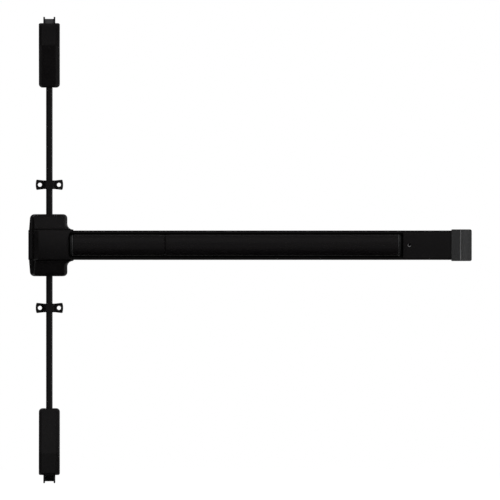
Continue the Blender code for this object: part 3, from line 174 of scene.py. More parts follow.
def baked_curve(curve, matrix):
    """The curve's shape as a closed mesh in world coordinates."""
    holder = bpy.data.objects.new("curve", curve)
    bpy.context.scene.collection.objects.link(holder)
    mesh = evaluated(holder)
    bpy.data.curves.remove(curve)
    bm = bmesh.new()
    bm.from_mesh(mesh)
    bmesh.ops.remove_doubles(bm, verts=bm.verts, dist=MERGE_REACH)
    bmesh.ops.transform(bm, matrix=matrix, verts=bm.verts)
    bmesh.ops.dissolve_limit(bm, angle_limit=math.radians(FLAT_DEGREES), verts=bm.verts, edges=bm.edges)
    bmesh.ops.recalc_face_normals(bm, faces=bm.faces)
    bm.to_mesh(mesh)
    bm.free()
    return mesh


def evaluated(obj):
    """A new mesh of the object with its modifiers; the object is removed."""
    depsgraph = bpy.context.evaluated_depsgraph_get()
    mesh = bpy.data.meshes.new_from_object(obj.evaluated_get(depsgraph))
    bpy.data.objects.remove(obj, do_unlink=True)
    return mesh


def box(x, y, z):
    """A box between two values on each axis."""
    bm = bmesh.new()
    bmesh.ops.create_cube(bm, size=1.0)
    size = Vector((x[1] - x[0], y[1] - y[0], z[1] - z[0]))
    middle = Vector((sum(x) / 2, sum(y) / 2, sum(z) / 2))
    place = Matrix.Translation(middle) @ Matrix.Diagonal((*size, 1))
    bmesh.ops.transform(bm, matrix=place, verts=bm.verts)
    return from_bmesh(bm)


def from_bmesh(bm):
    """A mesh with its faces turned outwards."""
    bmesh.ops.recalc_face_normals(bm, faces=bm.faces)
    mesh = bpy.data.meshes.new("piece")
    bm.to_mesh(mesh)
    bm.free()
    return mesh


def loft(rings):
    """A closed mesh through rings of as many points, capped at both ends."""
    bm = bmesh.new()
    loops = [[bm.verts.new(point) for point in ring] for ring in rings]
    for lower, upper in zip(loops, loops[1:]):
        for k in range(len(lower)):
            j = (k + 1) % len(lower)
            bm.faces.new((lower[k], lower[j], upper[j], upper[k]))
    bm.faces.new(loops[0][::-1])
    bm.faces.new(loops[-1])
    bmesh.ops.remove_doubles(bm, verts=bm.verts, dist=MERGE_REACH)
    return from_bmesh(bm)


def carved(mesh, cutters, operation="DIFFERENCE"):
    """The mesh after an exact Boolean with each cutting mesh in turn."""
    target = bpy.data.objects.new("carved", mesh)
    bpy.context.scene.collection.objects.link(target)
    tools = []
    for cutter in cutters:
        tool = bpy.data.objects.new("cutter", cutter)
        bpy.context.scene.collection.objects.link(tool)
        tools.append(tool)
        modifier = target.modifiers.new("carve", "BOOLEAN")
        modifier.operation = operation
        modifier.object = tool
        modifier.solver = "EXACT"
    made = evaluated(target)
    for tool in tools:
        bpy.data.objects.remove(tool, do_unlink=True)
    return made


def edge_rounded(mesh, width, angle=40.0, segments=3):
    """The mesh with its edges rounded where they are sharper than the angle in degrees."""
    holder = bpy.data.objects.new("rounded", mesh)
    bpy.context.scene.collection.objects.link(holder)
    modifier = holder.modifiers.new("bevel", "BEVEL")
    modifier.width = width
    modifier.segments = segments
    modifier.limit_method = "ANGLE"
    modifier.angle_limit = math.radians(angle)
    return evaluated(holder)


def piece(name, mesh, material, body, nodes=(), sharp=35.0):
    """A visible piece that rides on a body, may stand for CAD nodes and is smooth up to an angle."""
    obj = bpy.data.objects.new(name, mesh)
    bpy.context.scene.collection.objects.link(obj)
    mesh.materials.clear()
    mesh.materials.append(material)
    mesh.shade_smooth()
    mesh.set_sharp_from_angle(angle=math.radians(sharp))
    normals = obj.modifiers.new("even_normals", "WEIGHTED_NORMAL")
    normals.keep_sharp = True
    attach(obj, body)
    if nodes:
        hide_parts(*nodes)
    return obj


# Materials

# How far each finish departs from its colour and its roughness
COAT_DARKER = 0.75
COAT_LIGHTER = 1.3
COAT_SMOOTHER = 0.05
COAT_ROUGHER = 0.06
WRINKLE_GLOSS = 0.08
METAL_SMOOTHER = 0.06
METAL_ROUGHER = 0.10
STAIN_DARKER = 0.6


def shader_tree(name):
    """A new material with its nodes and its surface shader."""
    material = bpy.data.materials.new(name)
    material.use_nodes = True
    tree = material.node_tree
    return material, tree, tree.nodes["Principled BSDF"]


def place_node(tree, stretch=(1.0, 1.0, 1.0)):
    """Coordinates that stay with the object, stretched along an axis where the finish has a direction."""
    coordinates = tree.nodes.new("ShaderNodeTexCoord")
    mapping = tree.nodes.new("ShaderNodeMapping")
    mapping.inputs["Scale"].default_value = stretch
    tree.links.new(coordinates.outputs["Object"], mapping.inputs["Vector"])
    return mapping.outputs["Vector"]


def noise(tree, place, scale, detail=3.0, rough=0.55):
    """Noise with a scale in grains a metre."""
    node = tree.nodes.new("ShaderNodeTexNoise")
    node.inputs["Scale"].default_value = scale
    node.inputs["Detail"].default_value = detail
    node.inputs["Roughness"].default_value = rough
    tree.links.new(place, node.inputs["Vector"])
    return node.outputs["Fac"]


def spread(tree, value, low, high, from_low=0.3, from_high=0.7):
    """A value mapped to the range from low to high, from most of a noise's range unless told."""
    node = tree.nodes.new("ShaderNodeMapRange")
    node.inputs["From Min"].default_value = from_low
    node.inputs["From Max"].default_value = from_high
    node.inputs["To Min"].default_value = low
    node.inputs["To Max"].default_value = high
    tree.links.new(value, node.inputs["Value"])
    return node.outputs["Result"]


def mixed(tree, factor, first, second):
    """A colour between two colours or colour outputs."""
    return blended(tree, "MIX", factor, first, second)


def blended(tree, blend, factor, first, second):
    """Two colours or colour outputs put together in a way of blending."""
    node = tree.nodes.new("ShaderNodeMix")
    node.data_type = "RGBA"
    node.blend_type = blend
    if isinstance(factor, float):
        node.inputs["Factor"].default_value = factor
    else:
        tree.links.new(factor, node.inputs["Factor"])
    for value, socket in ((first, node.inputs["A"]), (second, node.inputs["B"])):
        if isinstance(value, tuple):
            socket.default_value = (*value, 1.0)
        else:
            tree.links.new(value, socket)
    return node.outputs["Result"]


def bump(tree, shader, height, strength, distance, under=None):
    """Relief from a noise value, on top of other relief where that is given."""
    node = tree.nodes.new("ShaderNodeBump")
    node.inputs["Strength"].default_value = strength
    node.inputs["Distance"].default_value = distance
    tree.links.new(height, node.inputs["Height"])
    if under is not None:
        tree.links.new(under, node.inputs["Normal"])
    tree.links.new(node.outputs["Normal"], shader.inputs["Normal"])
    return node.outputs["Normal"]


def black_finish(name, colour, roughness, grain_scale=900.0, grain_depth=0.03 * MM, stretch=(1, 1, 1)):
    """A satin black coat: slightly uneven tone and gloss, with a fine orange-peel surface."""
    material, tree, shader = shader_tree(name)
    place = place_node(tree, stretch)
    broad = noise(tree, place, scale=18.0, detail=4.0)
    fine = noise(tree, place, scale=260.0, detail=5.0, rough=0.6)
    grain = noise(tree, place, grain_scale)
    darker = tuple(COAT_DARKER * c for c in colour)
    lighter = tuple(COAT_LIGHTER * c for c in colour)
    tree.links.new(mixed(tree, spread(tree, broad, 0.0, 1.0), darker, lighter), shader.inputs["Base Color"])
    gloss = spread(tree, fine, roughness - COAT_SMOOTHER, roughness + COAT_ROUGHER)
    tree.links.new(gloss, shader.inputs["Roughness"])
    bump(tree, shader, grain, strength=0.35, distance=grain_depth)
    return material


def textured_grey(name, dark, light, roughness):
    """A charcoal wrinkle coat: mottled tone and a coarse grain."""
    material, tree, shader = shader_tree(name)
    place = place_node(tree)
    mottle = noise(tree, place, scale=420.0, detail=5.0, rough=0.65)
    patches = noise(tree, place, scale=60.0)
    grain = noise(tree, place, scale=1300.0, detail=4.0, rough=0.6)
    tone = mixed(tree, spread(tree, mottle, 0.0, 1.0, from_low=0.35, from_high=0.65), dark, light)
    middle = tuple((a + b) / 2 for a, b in zip(dark, light))
    veiled = mixed(tree, spread(tree, patches, 0.0, 0.5), tone, middle)
    tree.links.new(veiled, shader.inputs["Base Color"])
    gloss = spread(tree, grain, roughness - WRINKLE_GLOSS, roughness + WRINKLE_GLOSS)
    tree.links.new(gloss, shader.inputs["Roughness"])
    coarse = bump(tree, shader, mottle, strength=0.4, distance=0.12 * MM)
    bump(tree, shader, grain, strength=0.4, distance=0.05 * MM, under=coarse)
    return material


def metal(name, colour, roughness, stretch=(1, 1, 1), streak=0.25):
    """Bare or plated steel: drawn streaks, small stains and a slightly uneven gloss."""
    material, tree, shader = shader_tree(name)
    shader.inputs["Metallic"].default_value = 1.0
    lines = noise(tree, place_node(tree, stretch), scale=500.0, detail=4.0, rough=0.65)
    stains = noise(tree, place_node(tree), scale=70.0, detail=5.0, rough=0.6)
    darker = tuple((1 - streak) * c for c in colour)
    stain = tuple(STAIN_DARKER * c for c in colour)
    tone = mixed(tree, spread(tree, lines, 0.0, 1.0), darker, colour)
    stained = mixed(tree, spread(tree, stains, 0.0, 0.35, from_low=0.45, from_high=0.75), tone, stain)
    tree.links.new(stained, shader.inputs["Base Color"])
    gloss = spread(tree, lines, roughness - METAL_SMOOTHER, roughness + METAL_ROUGHER)
    tree.links.new(gloss, shader.inputs["Roughness"])
    bump(tree, shader, lines, strength=0.3, distance=0.03 * MM)
    return material


# The finishes: a colour, a roughness, and how the grain stretches along a drawn or extruded piece
COAT_BLACK = black_finish("coat_black", (0.0027, 0.0021, 0.0024), 0.32)
RAIL_BLACK = black_finish("rail_black", (0.0026, 0.0020, 0.0023), 0.32, grain_scale=700.0,
                          grain_depth=0.02 * MM, stretch=(0.05, 1, 1))
PAD_BLACK = black_finish("pad_black", (0.0024, 0.0018, 0.0021), 0.28, grain_scale=700.0,
                         grain_depth=0.007 * MM, stretch=(0.05, 1, 1))
ROD_BLACK = black_finish("rod_black", (0.0028, 0.0024, 0.0025), 0.34, grain_scale=800.0,
                         stretch=(1, 1, 0.06))
# Near-black steel: the base plate's own colour, and painted shade on the bottom bolt, where that bolt lies
# in the latch's shade
BLACK_STEEL_AND_SHADE = black_finish("black_steel_and_shade", (0.0012, 0.0011, 0.0012), 0.42)
CAP_GREY = textured_grey("cap_grey", (0.0120, 0.0122, 0.0125), (0.0210, 0.0212, 0.0216), 0.40)
PAD_CAP_GREY = textured_grey("pad_cap_grey", (0.0020, 0.0020, 0.0021), (0.0038, 0.0038, 0.0039), 0.34)
LATCH_STEEL = metal("latch_steel", (0.115, 0.115, 0.118), 0.42, stretch=(1, 1, 0.08))
BOLT_STEEL = metal("bolt_steel", (0.42, 0.42, 0.43), 0.40, stretch=(0.08, 1, 1))
BARE_STEEL = metal("bare_steel", (0.50, 0.50, 0.51), 0.34, stretch=(0.1, 1, 1))
ZINC_STEEL = metal("zinc_steel", (0.42, 0.43, 0.45), 0.40)
# Bright steel for the pad caps' trims: a painted highlight line along each cap
TRIM_HIGHLIGHT_STEEL = metal("trim_highlight", (0.30, 0.30, 0.305), 0.27, stretch=(1, 0.1, 1))
# Near-white steel for the end cap's ridge bead: a painted highlight down the ridge
BEAD_HIGHLIGHT_STEEL = metal("bead_highlight", (0.90, 0.90, 0.90), 0.44, stretch=(1, 1, 0.1), streak=0.3)
DRIVE_STEEL = metal("drive_steel", (0.11, 0.11, 0.112), 0.40, stretch=(0.1, 1, 1))
# Near-white steel for the key hole's rim: a painted highlight where the hole's lower edge catches the light
RIM_HIGHLIGHT_STEEL = metal("rim_highlight", (0.95, 0.95, 0.96), 0.36)
# Near-black steel for the dogging screw: painted shade, so that the key hole looks dark and deep
KEY_HOLE_SHADE_STEEL = metal("key_hole_shade", (0.045, 0.045, 0.047), 0.42)
SPRING_STEEL = metal("spring_steel", (0.30, 0.30, 0.31), 0.32)

# What each CAD node that the scene keeps is made of; the near-black bottom bolt and dogging screw are
# painted shade
CAD_FINISH = {
    "mounting_plate": ZINC_STEEL, "mechanism_case": RAIL_BLACK, "base_plate": BLACK_STEEL_AND_SHADE,
    "left_crank_bracket": ZINC_STEEL, "right_crank_bracket": ZINC_STEEL,
    "left_crank_pin": BARE_STEEL, "right_crank_pin": BARE_STEEL,
    "upper_lifter_pin": BARE_STEEL, "lower_lifter_pin": BARE_STEEL,
    "dogging_block": ZINC_STEEL, "end_cap_bracket": ZINC_STEEL,
    "left_pad_bracket": ZINC_STEEL, "right_pad_bracket": ZINC_STEEL,
    "left_bell_crank": BARE_STEEL, "right_bell_crank": BARE_STEEL,
    "drive_bar": DRIVE_STEEL, "drive_yoke": DRIVE_STEEL,
    "upper_lifter": BARE_STEEL, "lower_lifter": BARE_STEEL,
    "top_rod": ROD_BLACK, "bottom_rod": ROD_BLACK,
    "top_rod_clevis": ZINC_STEEL, "bottom_rod_clevis": ZINC_STEEL,
    "top_rod_lower_nut": ZINC_STEEL, "top_rod_upper_nut": ZINC_STEEL,
    "bottom_rod_lower_nut": ZINC_STEEL, "bottom_rod_upper_nut": ZINC_STEEL,
    "top_latch_frame": LATCH_STEEL, "bottom_latch_frame": LATCH_STEEL,
    # The bottom bolt's near-black finish is painted shade; the top bolt is bare steel
    "top_bolt": BOLT_STEEL, "bottom_bolt": BLACK_STEEL_AND_SHADE,
    # The dogging screw's near-black steel is painted shade in the key hole
    "dogging_screw": KEY_HOLE_SHADE_STEEL,
}
CAD_WELD_REACH = 2e-6
CAD_EDGE_ROUND = 0.3 * MM
CAD_SHARP_DEGREES = 50


def dress_cad_nodes():
    """Gives each CAD node that is kept its finish and a small round on its edges."""
    for name, material in CAD_FINISH.items():
        node = frame["nodes"][name]
        node.data.materials.clear()
        node.data.materials.append(material)
        weld = node.modifiers.new("weld", "WELD")
        weld.merge_threshold = CAD_WELD_REACH
        bevel = node.modifiers.new("edges", "BEVEL")
        bevel.width = CAD_EDGE_ROUND
        bevel.segments = 2
        bevel.limit_method = "ANGLE"
        bevel.angle_limit = math.radians(CAD_SHARP_DEGREES)


# Centre case: its body, the shelf along its left, the band across it and the neck over the rail

CASE_HALF = 60.3 * MM
CASE_LEFT = 38.9 * MM
CASE_LEFT_TAPER = 2.2 * MM
CASE_RIGHT = 34.9 * MM
CASE_WALL = 2.4 * MM
CASE_SHOULDER_DEPTH = 59.0 * MM
CASE_END_DEPTH = 50.0 * MM
CASE_END_CORNER = 8.0 * MM
CASE_END_ROUND = 7.0 * MM
CASE_RIGHT_ROUND = 7.0 * MM
CASE_END_ZONE = 4.0 * MM
SHELF_BACK = 11.0 * MM
SHELF_BACK_AT_END = 5.0 * MM
SHELF_EDGE = 3.0 * MM
SHELF_FOOT = -32.3 * MM
SHELF_FOOT_ROUND = 1.0 * MM
SHELF_LEAN = 0.42
BROW_ROUND = 3.0 * MM
LEAST_BROW_ROUND = 0.4 * MM
BAND_HALF = 30.5 * MM
BAND_DEPTH = 64.0 * MM
BAND_CROWN = 2.4 * MM
BAND_STEP = 1.5 * MM
BAND_BROW_ROUND = 12.0 * MM
BAND_TOP_EDGE = 1.2 * MM
BAND_BOTTOM_EDGE = 4.4 * MM
BAND_COVE = 7.0 * MM
BAND_COVE_HEIGHT = 1.4 * MM
BAND_GROOVE_IN = 1.0 * MM
BAND_GROOVE_OUT = 1.2 * MM
BAND_GROOVE_DEPTH = 3.0 * MM
BAND_GROOVE_SIDE = 0.08 * MM
BAND_COVE_STEPS = 8
BAND_CROWN_STEPS = 12
BAND_FILLET = 11.0 * MM
BAND_FILLET_START = 0.15 * MM
BAND_SHOULDER_ROUND = 14.5 * MM
BAND_SHOULDER_AT_EDGE = 4.0 * MM
NECK_END = 46.8 * MM
NECK_HOLLOW_START = 37.6 * MM
NECK_HOLLOW_CORNER = 13.0 * MM
NECK_HOLLOW_STEPS = 24
RAIL_HALF = 28.575 * MM
RAIL_DEPTH = 38.0 * MM
ROD_SLOT_HALF = 7.9 * MM
ROD_SLOT_FRONT = 24.0 * MM


def plain_form(distance):
    """The case's edges and rounds without the band, at a distance above or below its middle."""
    slope = ramp(distance, BAND_HALF + BAND_STEP, CASE_HALF)
    front = -(CASE_SHOULDER_DEPTH - slope * (CASE_SHOULDER_DEPTH - CASE_END_DEPTH))
    shelf = front + SHELF_BACK - slope * (SHELF_BACK - SHELF_BACK_AT_END)
    left = -CASE_LEFT + slope * CASE_LEFT_TAPER
    return SimpleNamespace(left=left, right=CASE_RIGHT, front=front, shelf=shelf,
                           brow_round=BROW_ROUND, right_round=CASE_RIGHT_ROUND)


def flare_to_band(form, z):
    """Beside the band the case flares out to the neck and rises in a cove, grooved along the top."""
    out = abs(z) - BAND_HALF
    flare = end_inset(out, BAND_FILLET) / BAND_FILLET
    form.right += flare * (NECK_END - CASE_RIGHT)
    form.right_round += flare * (BAND_SHOULDER_AT_EDGE - CASE_RIGHT_ROUND)
    form.front -= BAND_COVE_HEIGHT * (1 - ramp(out, 0, BAND_COVE)) ** 2
    if z > 0 and out < BAND_GROOVE_OUT:
        form.front += BAND_GROOVE_DEPTH
        form.shelf += 0.5 * BAND_GROOVE_DEPTH


def raise_to_band(form, z):
    """On the band the front is crowned, and it reaches the neck's end and stands out on the left."""
    distance = abs(z)
    if z > 0:
        edge = end_inset(BAND_HALF - BAND_GROOVE_IN - distance, BAND_TOP_EDGE)
    else:
        edge = end_inset(BAND_HALF - distance, BAND_BOTTOM_EDGE)
    form.left = -CASE_LEFT - BAND_STEP + min(edge, BAND_STEP)
    form.front = -(BAND_DEPTH - BAND_CROWN * (distance / BAND_HALF) ** 2) + edge
    if z > 0 and distance > BAND_HALF - BAND_GROOVE_IN:
        form.front = -(CASE_SHOULDER_DEPTH + BAND_COVE_HEIGHT - BAND_GROOVE_DEPTH)
    form.shelf += min(edge, BAND_STEP) - BAND_STEP
    form.brow_round = BAND_BROW_ROUND
    form.right = NECK_END
    fade = (distance / BAND_HALF) ** 2
    form.right_round = BAND_SHOULDER_ROUND - fade * (BAND_SHOULDER_ROUND - BAND_SHOULDER_AT_EDGE)


def case_section(z, wall):
    """The case's section at a height, drawn in by a wall: a shelf, a leaning brow and the front."""
    distance = abs(z)
    to_end = CASE_HALF - wall - distance
    inset = wall + end_inset(to_end, CASE_END_CORNER - wall)
    setback = wall + end_inset(to_end, CASE_END_ROUND - wall)
    form = plain_form(distance)
    if wall == 0 and distance > BAND_HALF:
        flare_to_band(form, z)
    elif wall == 0:
        raise_to_band(form, z)
    left = form.left + inset
    right = form.right - inset
    front = form.front + setback
    shelf = form.shelf + setback
    back = CUT_PAST if wall else 0.0
    foot = max(SHELF_FOOT + wall, left + SHELF_EDGE + SHELF_FOOT_ROUND)
    brow = foot + SHELF_LEAN * (shelf - front)
    shelf_edge = SHELF_EDGE - min(wall, SHELF_EDGE / 2)
    brow_round = max(min(form.brow_round, shelf - front) - wall, LEAST_BROW_ROUND)
    right_round = form.right_round - min(wall, form.right_round / 2)
    ring = fillet([(left, back, 0), (left, shelf, shelf_edge), (foot, shelf, SHELF_FOOT_ROUND),
                   (brow, front, brow_round), (right, front, right_round), (right, back, 0)])
    return [(x, y, z) for x, y in ring]


def case_heights(wall):
    """The heights of the case's sections: close together at its ends and at the band's edges."""
    end = CASE_HALF - wall
    reach = {0.0, end - CASE_END_CORNER - CASE_END_ZONE}
    reach.update(end - d for d in end_steps(CASE_END_CORNER - wall))
    reach.update(end - d for d in end_steps(CASE_END_ROUND - wall))
    if wall == 0:
        reach.update(BAND_HALF + BAND_FILLET_START + d for d in end_steps(BAND_FILLET))
        for edge in (BAND_HALF + BAND_GROOVE_OUT, BAND_HALF - BAND_GROOVE_IN):
            reach.update((edge - BAND_GROOVE_SIDE, edge + BAND_GROOVE_SIDE))
        reach.update(BAND_HALF + BAND_COVE * (k + 1) / BAND_COVE_STEPS for k in range(BAND_COVE_STEPS))
        reach.update(BAND_HALF - d for d in end_steps(BAND_BOTTOM_EDGE))
        reach.update(BAND_HALF - BAND_GROOVE_IN - d for d in end_steps(BAND_TOP_EDGE))
        reach.update(BAND_HALF * k / BAND_CROWN_STEPS for k in range(BAND_CROWN_STEPS))
    kept = thinned(reach)
    return [-z for z in reversed(kept[1:])] + kept


def centre_case():
    """The cover over the rods' middle, hollow, open over the rail's end and above and below the rods."""
    shell = loft([case_section(z, 0.0) for z in case_heights(0.0)])
    cavity = loft([case_section(z, CASE_WALL) for z in case_heights(CASE_WALL)])
    half = RAIL_HALF + SEAT
    rail_start = CASE_RIGHT - 2 * CASE_WALL
    rail_way = box((rail_start, NECK_END + CUT_PAST), (-RAIL_DEPTH - SEAT, CUT_PAST), (-half, half))
    reach = NECK_END + NECK_HOLLOW_CORNER
    hollow = prism("Y", -BAND_DEPTH - CUT_PAST, -RAIL_DEPTH,
                   fillet([(NECK_HOLLOW_START, -half, NECK_HOLLOW_CORNER), (reach, -half, 0),
                           (reach, half, 0), (NECK_HOLLOW_START, half, NECK_HOLLOW_CORNER)],
                          NECK_HOLLOW_STEPS))
    past_ends = CASE_HALF + CUT_PAST
    rod_way = box((-ROD_SLOT_HALF, ROD_SLOT_HALF), (-ROD_SLOT_FRONT, CUT_PAST), (-past_ends, past_ends))
    mesh = carved(shell, [cavity, rail_way, hollow, rod_way])
    piece("centre_case_cover", mesh, COAT_BLACK, BODY_OF["centre_cover"], ["centre_cover"])


# Latches

LATCH_HALF = 20.3 * MM
LATCH_WALL = 2.2 * MM
LATCH_DEPTH = 42.0 * MM
LATCH_ROD_END_DEPTH = 26.5 * MM
LATCH_FLAT = 43.0 * MM
LATCH_CREASE = 2.0 * MM
LATCH_CREASE_ROUND = 0.8 * MM
LATCH_SIDE_ROUND = 6.5 * MM
LATCH_BEVEL = 7.8 * MM
LATCH_BEVEL_DROP = 2.3 * MM
LATCH_BEVEL_ROUND = 3.2 * MM
LATCH_ROD_CORNER = 7.0 * MM
LATCH_BOLT_CORNER = 3.0 * MM
LATCH_END_ROUND = 3.0 * MM
LATCH_BOLT_END_ROUND = 5.0 * MM
LATCH_MOUTH_HALF = 11.45 * MM
LATCH_ROD_WAY_FRONT = 23.3 * MM


def latch_cover(name):
    """A latch's cover: flat over the bolt, then sloping back to the rod."""
    node = name + "_latch_cover"
    low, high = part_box(node)
    side = 1 if low.z > 0 else -1
    bolt_end = high.z if side > 0 else -low.z
    length = high.z - low.z
    cheeks_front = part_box(name + "_latch_frame")[0].y

    def depth(distance):
        """How far the cover stands out at a distance from its end over the bolt."""
        return LATCH_DEPTH - ramp(distance, LATCH_FLAT, length) * (LATCH_DEPTH - LATCH_ROD_END_DEPTH)

    def section(z, wall):
        """The cover's section at a height, drawn in by a wall, with a bevel down its right side."""
        distance = bolt_end - abs(z)
        to_bolt = distance - wall
        to_rod = length - wall - distance
        inset = end_inset(to_bolt, LATCH_BOLT_CORNER - wall) + end_inset(to_rod, LATCH_ROD_CORNER - wall)
        drop = end_inset(to_bolt, LATCH_BOLT_END_ROUND - wall) + end_inset(to_rod, LATCH_END_ROUND - wall)
        half = LATCH_HALF - wall - inset
        front = -depth(distance) + wall + drop
        back = CUT_PAST if wall else 0.0
        crease = half - LATCH_BEVEL + 0.5 * wall
        ring = fillet([(-half, back, 0), (-half, front, LATCH_SIDE_ROUND - wall),
                       (crease, front, LATCH_CREASE_ROUND),
                       (half, front + LATCH_BEVEL_DROP, LATCH_BEVEL_ROUND - 0.5 * wall), (half, back, 0)])
        return [(x, y, z) for x, y in ring]

    def heights(wall):
        """The heights of the sections: close together at the ends and at the slope's start."""
        places = {LATCH_FLAT, LATCH_FLAT - LATCH_CREASE, LATCH_FLAT + LATCH_CREASE}
        places.update(wall + d for d in end_steps(LATCH_BOLT_CORNER - wall))
        places.update(wall + d for d in end_steps(LATCH_BOLT_END_ROUND - wall))
        places.update(length - wall - d for d in end_steps(LATCH_ROD_CORNER - wall))
        places.update(length - wall - d for d in end_steps(LATCH_END_ROUND - wall))
        return sorted(side * (bolt_end - place) for place in thinned(places))

    def span(near, far):
        """The heights between two distances from the cover's end over the bolt."""
        return sorted((side * (bolt_end - near), side * (bolt_end - far)))

    shell = loft([section(z, 0.0) for z in heights(0.0)])
    cavity = loft([section(z, LATCH_WALL) for z in heights(LATCH_WALL)])
    mouth_half = LATCH_MOUTH_HALF + SEAT
    mouth = box((-mouth_half, mouth_half), (cheeks_front - SEAT, CUT_PAST),
                span(-CUT_PAST, LATCH_WALL + CUT_PAST))
    rod_way = box((-ROD_SLOT_HALF, ROD_SLOT_HALF), (-LATCH_ROD_WAY_FRONT, CUT_PAST),
                  span(length - LATCH_WALL - CUT_PAST, length + CUT_PAST))
    mesh = carved(shell, [cavity, mouth, rod_way])
    piece(name + "_latch_case", mesh, COAT_BLACK, BODY_OF[node], [node])


# Rod guides

GUIDE_THICKNESS = 2.4 * MM
GUIDE_SADDLE_HALF = 5.6 * MM
GUIDE_SADDLE_ROUND = 0.4 * MM
GUIDE_RISER_FOOT = 11.0 * MM
GUIDE_WAIST = 8.5 * MM
GUIDE_BULGE = 1.6 * MM
GUIDE_BULGE_STEPS = 8
GUIDE_CORNER = 1.8 * MM
GUIDE_CORNER_STEPS = 6
GUIDE_EDGE_ROUND = 0.35 * MM
GUIDE_HOLE_X = 18.5 * MM
GUIDE_HOLE_RADIUS = 3.85 * MM
GUIDE_HOLE_SIDES = 40


def guide_profile(saddle, half):
    """The guide seen along the rod: a strap that rises from its two feet and passes over the rod."""
    wall = GUIDE_THICKNESS
    right = [(half, 0, 0), (half, -wall, 0), (GUIDE_RISER_FOOT + wall, -wall, wall),
             (GUIDE_SADDLE_HALF + wall, saddle, wall)]
    left = [(-u, v, radius) for u, v, radius in reversed(right)]
    under = [(-GUIDE_RISER_FOOT, 0, 0), (-GUIDE_SADDLE_HALF, saddle + wall, GUIDE_SADDLE_ROUND),
             (GUIDE_SADDLE_HALF, saddle + wall, GUIDE_SADDLE_ROUND), (GUIDE_RISER_FOOT, 0, 0)]
    return fillet(right + left + under)


def guide_outline(half, end):
    """The guide seen from the front: two feet with bulging ends and a waist over the rod."""
    shoulder = half - GUIDE_BULGE
    radius = (end**2 + GUIDE_BULGE**2) / (2 * GUIDE_BULGE)
    bulge = []
    for k in range(1, GUIDE_BULGE_STEPS):
        v = end * (2 * k / GUIDE_BULGE_STEPS - 1)
        bulge.append((half - radius + math.sqrt(radius**2 - v**2), v, 0))
    foot_edge = [(shoulder, -end, GUIDE_CORNER), *bulge, (shoulder, end, GUIDE_CORNER)]
    waist = [(GUIDE_RISER_FOOT, GUIDE_WAIST, GUIDE_CORNER), (-GUIDE_RISER_FOOT, GUIDE_WAIST, GUIDE_CORNER)]
    side = foot_edge + waist
    return fillet(side + [(-u, -v, radius) for u, v, radius in side], GUIDE_CORNER_STEPS)


def rod_guide(node):
    """The strap bent over a rod, cut to a bow-tie outline with a screw hole in each foot."""
    low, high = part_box(node)
    half, end, middle = high.x, (high.z - low.z) / 2, (high.z + low.z) / 2
    strap = prism("Z", low.z - CUT_PAST, high.z + CUT_PAST, guide_profile(low.y, half))
    outline = [Vector((u, middle + v)) for u, v in guide_outline(half, end)]
    holes = [circle(x, middle, GUIDE_HOLE_RADIUS, GUIDE_HOLE_SIDES) for x in (-GUIDE_HOLE_X, GUIDE_HOLE_X)]
    blank = prism("Y", low.y - CUT_PAST, CUT_PAST, outline, holes)
    mesh = edge_rounded(carved(strap, [blank], "INTERSECT"), GUIDE_EDGE_ROUND, angle=50.0)
    piece(node + "_strap", mesh, COAT_BLACK, BODY_OF[node], [node], sharp=30.0)


# Push pad: a bar with a joint across it, and at each end a cap with a trim that carries a painted highlight

PAD_HALF = 19.9 * MM
PAD_CROWN = 4.0 * MM
PAD_CROWN_POWER = 3.0
PAD_CROWN_SHARE = 0.88
PAD_CROWN_STEPS = 32
PAD_CORNER = 2.6 * MM
PAD_LEAST_CORNER = 0.4 * MM
PAD_WALL = 2.0 * MM
PAD_JOINT_X = 224.5 * MM
PAD_JOINT_REACH = 5.0 * MM
PAD_JOINT_DEPTH = 0.5 * MM
PAD_JOINT_SLIT_HALF = 1.6 * MM
PAD_JOINT_SLIT_DEPTH = 1.8 * MM
PAD_JOINT_OFFSETS = (2.5 * MM, 4 * MM, 6 * MM, 8 * MM, 12 * MM, 18 * MM)
PAD_CAP_CORNER = 3.2 * MM
PAD_CAP_EDGE_ROUND = 1.0 * MM
PAD_CAP_FACE = 10.0 * MM
PAD_CAP_NOTCH_HALF = 14.2 * MM
PAD_RIGHT_GAP = 0.9 * MM
PAD_TRIM_HALF = 0.75 * MM
PAD_TRIM_STANDOUT = 0.25 * MM
PAD_TRIM_SUNK = 1.0 * MM
PAD_TRIM_EDGE_ROUND = 0.3 * MM
PAD_LEFT_TRIM = 4.2 * MM
PAD_RIGHT_TRIM = 0.9 * MM


def pad_section(inset):
    """The pad's section in Y and Z: straight skirts and a front crowned most near its edges."""
    low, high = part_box("touch_bar")
    half = PAD_HALF - inset

    def front(share):
        return low.y + inset + PAD_CROWN * abs(share) ** PAD_CROWN_POWER

    crown = []
    for k in range(PAD_CROWN_STEPS + 1):
        share = PAD_CROWN_SHARE * (1 - 2 * k / PAD_CROWN_STEPS)
        crown.append((front(share), share * half, 0))
    edge = front(1.0)
    corner = max(PAD_CORNER - inset, PAD_LEAST_CORNER)
    return [(high.y, half, 0), (edge, half, corner), *crown, (edge, -half, corner), (high.y, -half, 0)]


def pad_bar():
    """The pad's bar, whose faces draw in a little towards a narrow joint across it."""
    low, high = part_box("touch_bar")
    drawn_in = {low.x: 0.0, PAD_JOINT_X: PAD_JOINT_SLIT_DEPTH, high.x: 0.0}
    for offset in (PAD_JOINT_SLIT_HALF, *PAD_JOINT_OFFSETS):
        depth = PAD_JOINT_DEPTH * math.exp((PAD_JOINT_SLIT_HALF - offset) / PAD_JOINT_REACH)
        drawn_in[PAD_JOINT_X - offset] = depth
        drawn_in[PAD_JOINT_X + offset] = depth
    inner = pad_section(PAD_WALL)[::-1]
    rings = []
    for x in sorted(drawn_in):
        rings.append([(x, y, z) for y, z in fillet(pad_section(drawn_in[x]) + inner)])
    piece("touch_bar_extrusion", loft(rings), PAD_BLACK, "push_pad", ["touch_bar"], sharp=30.0)


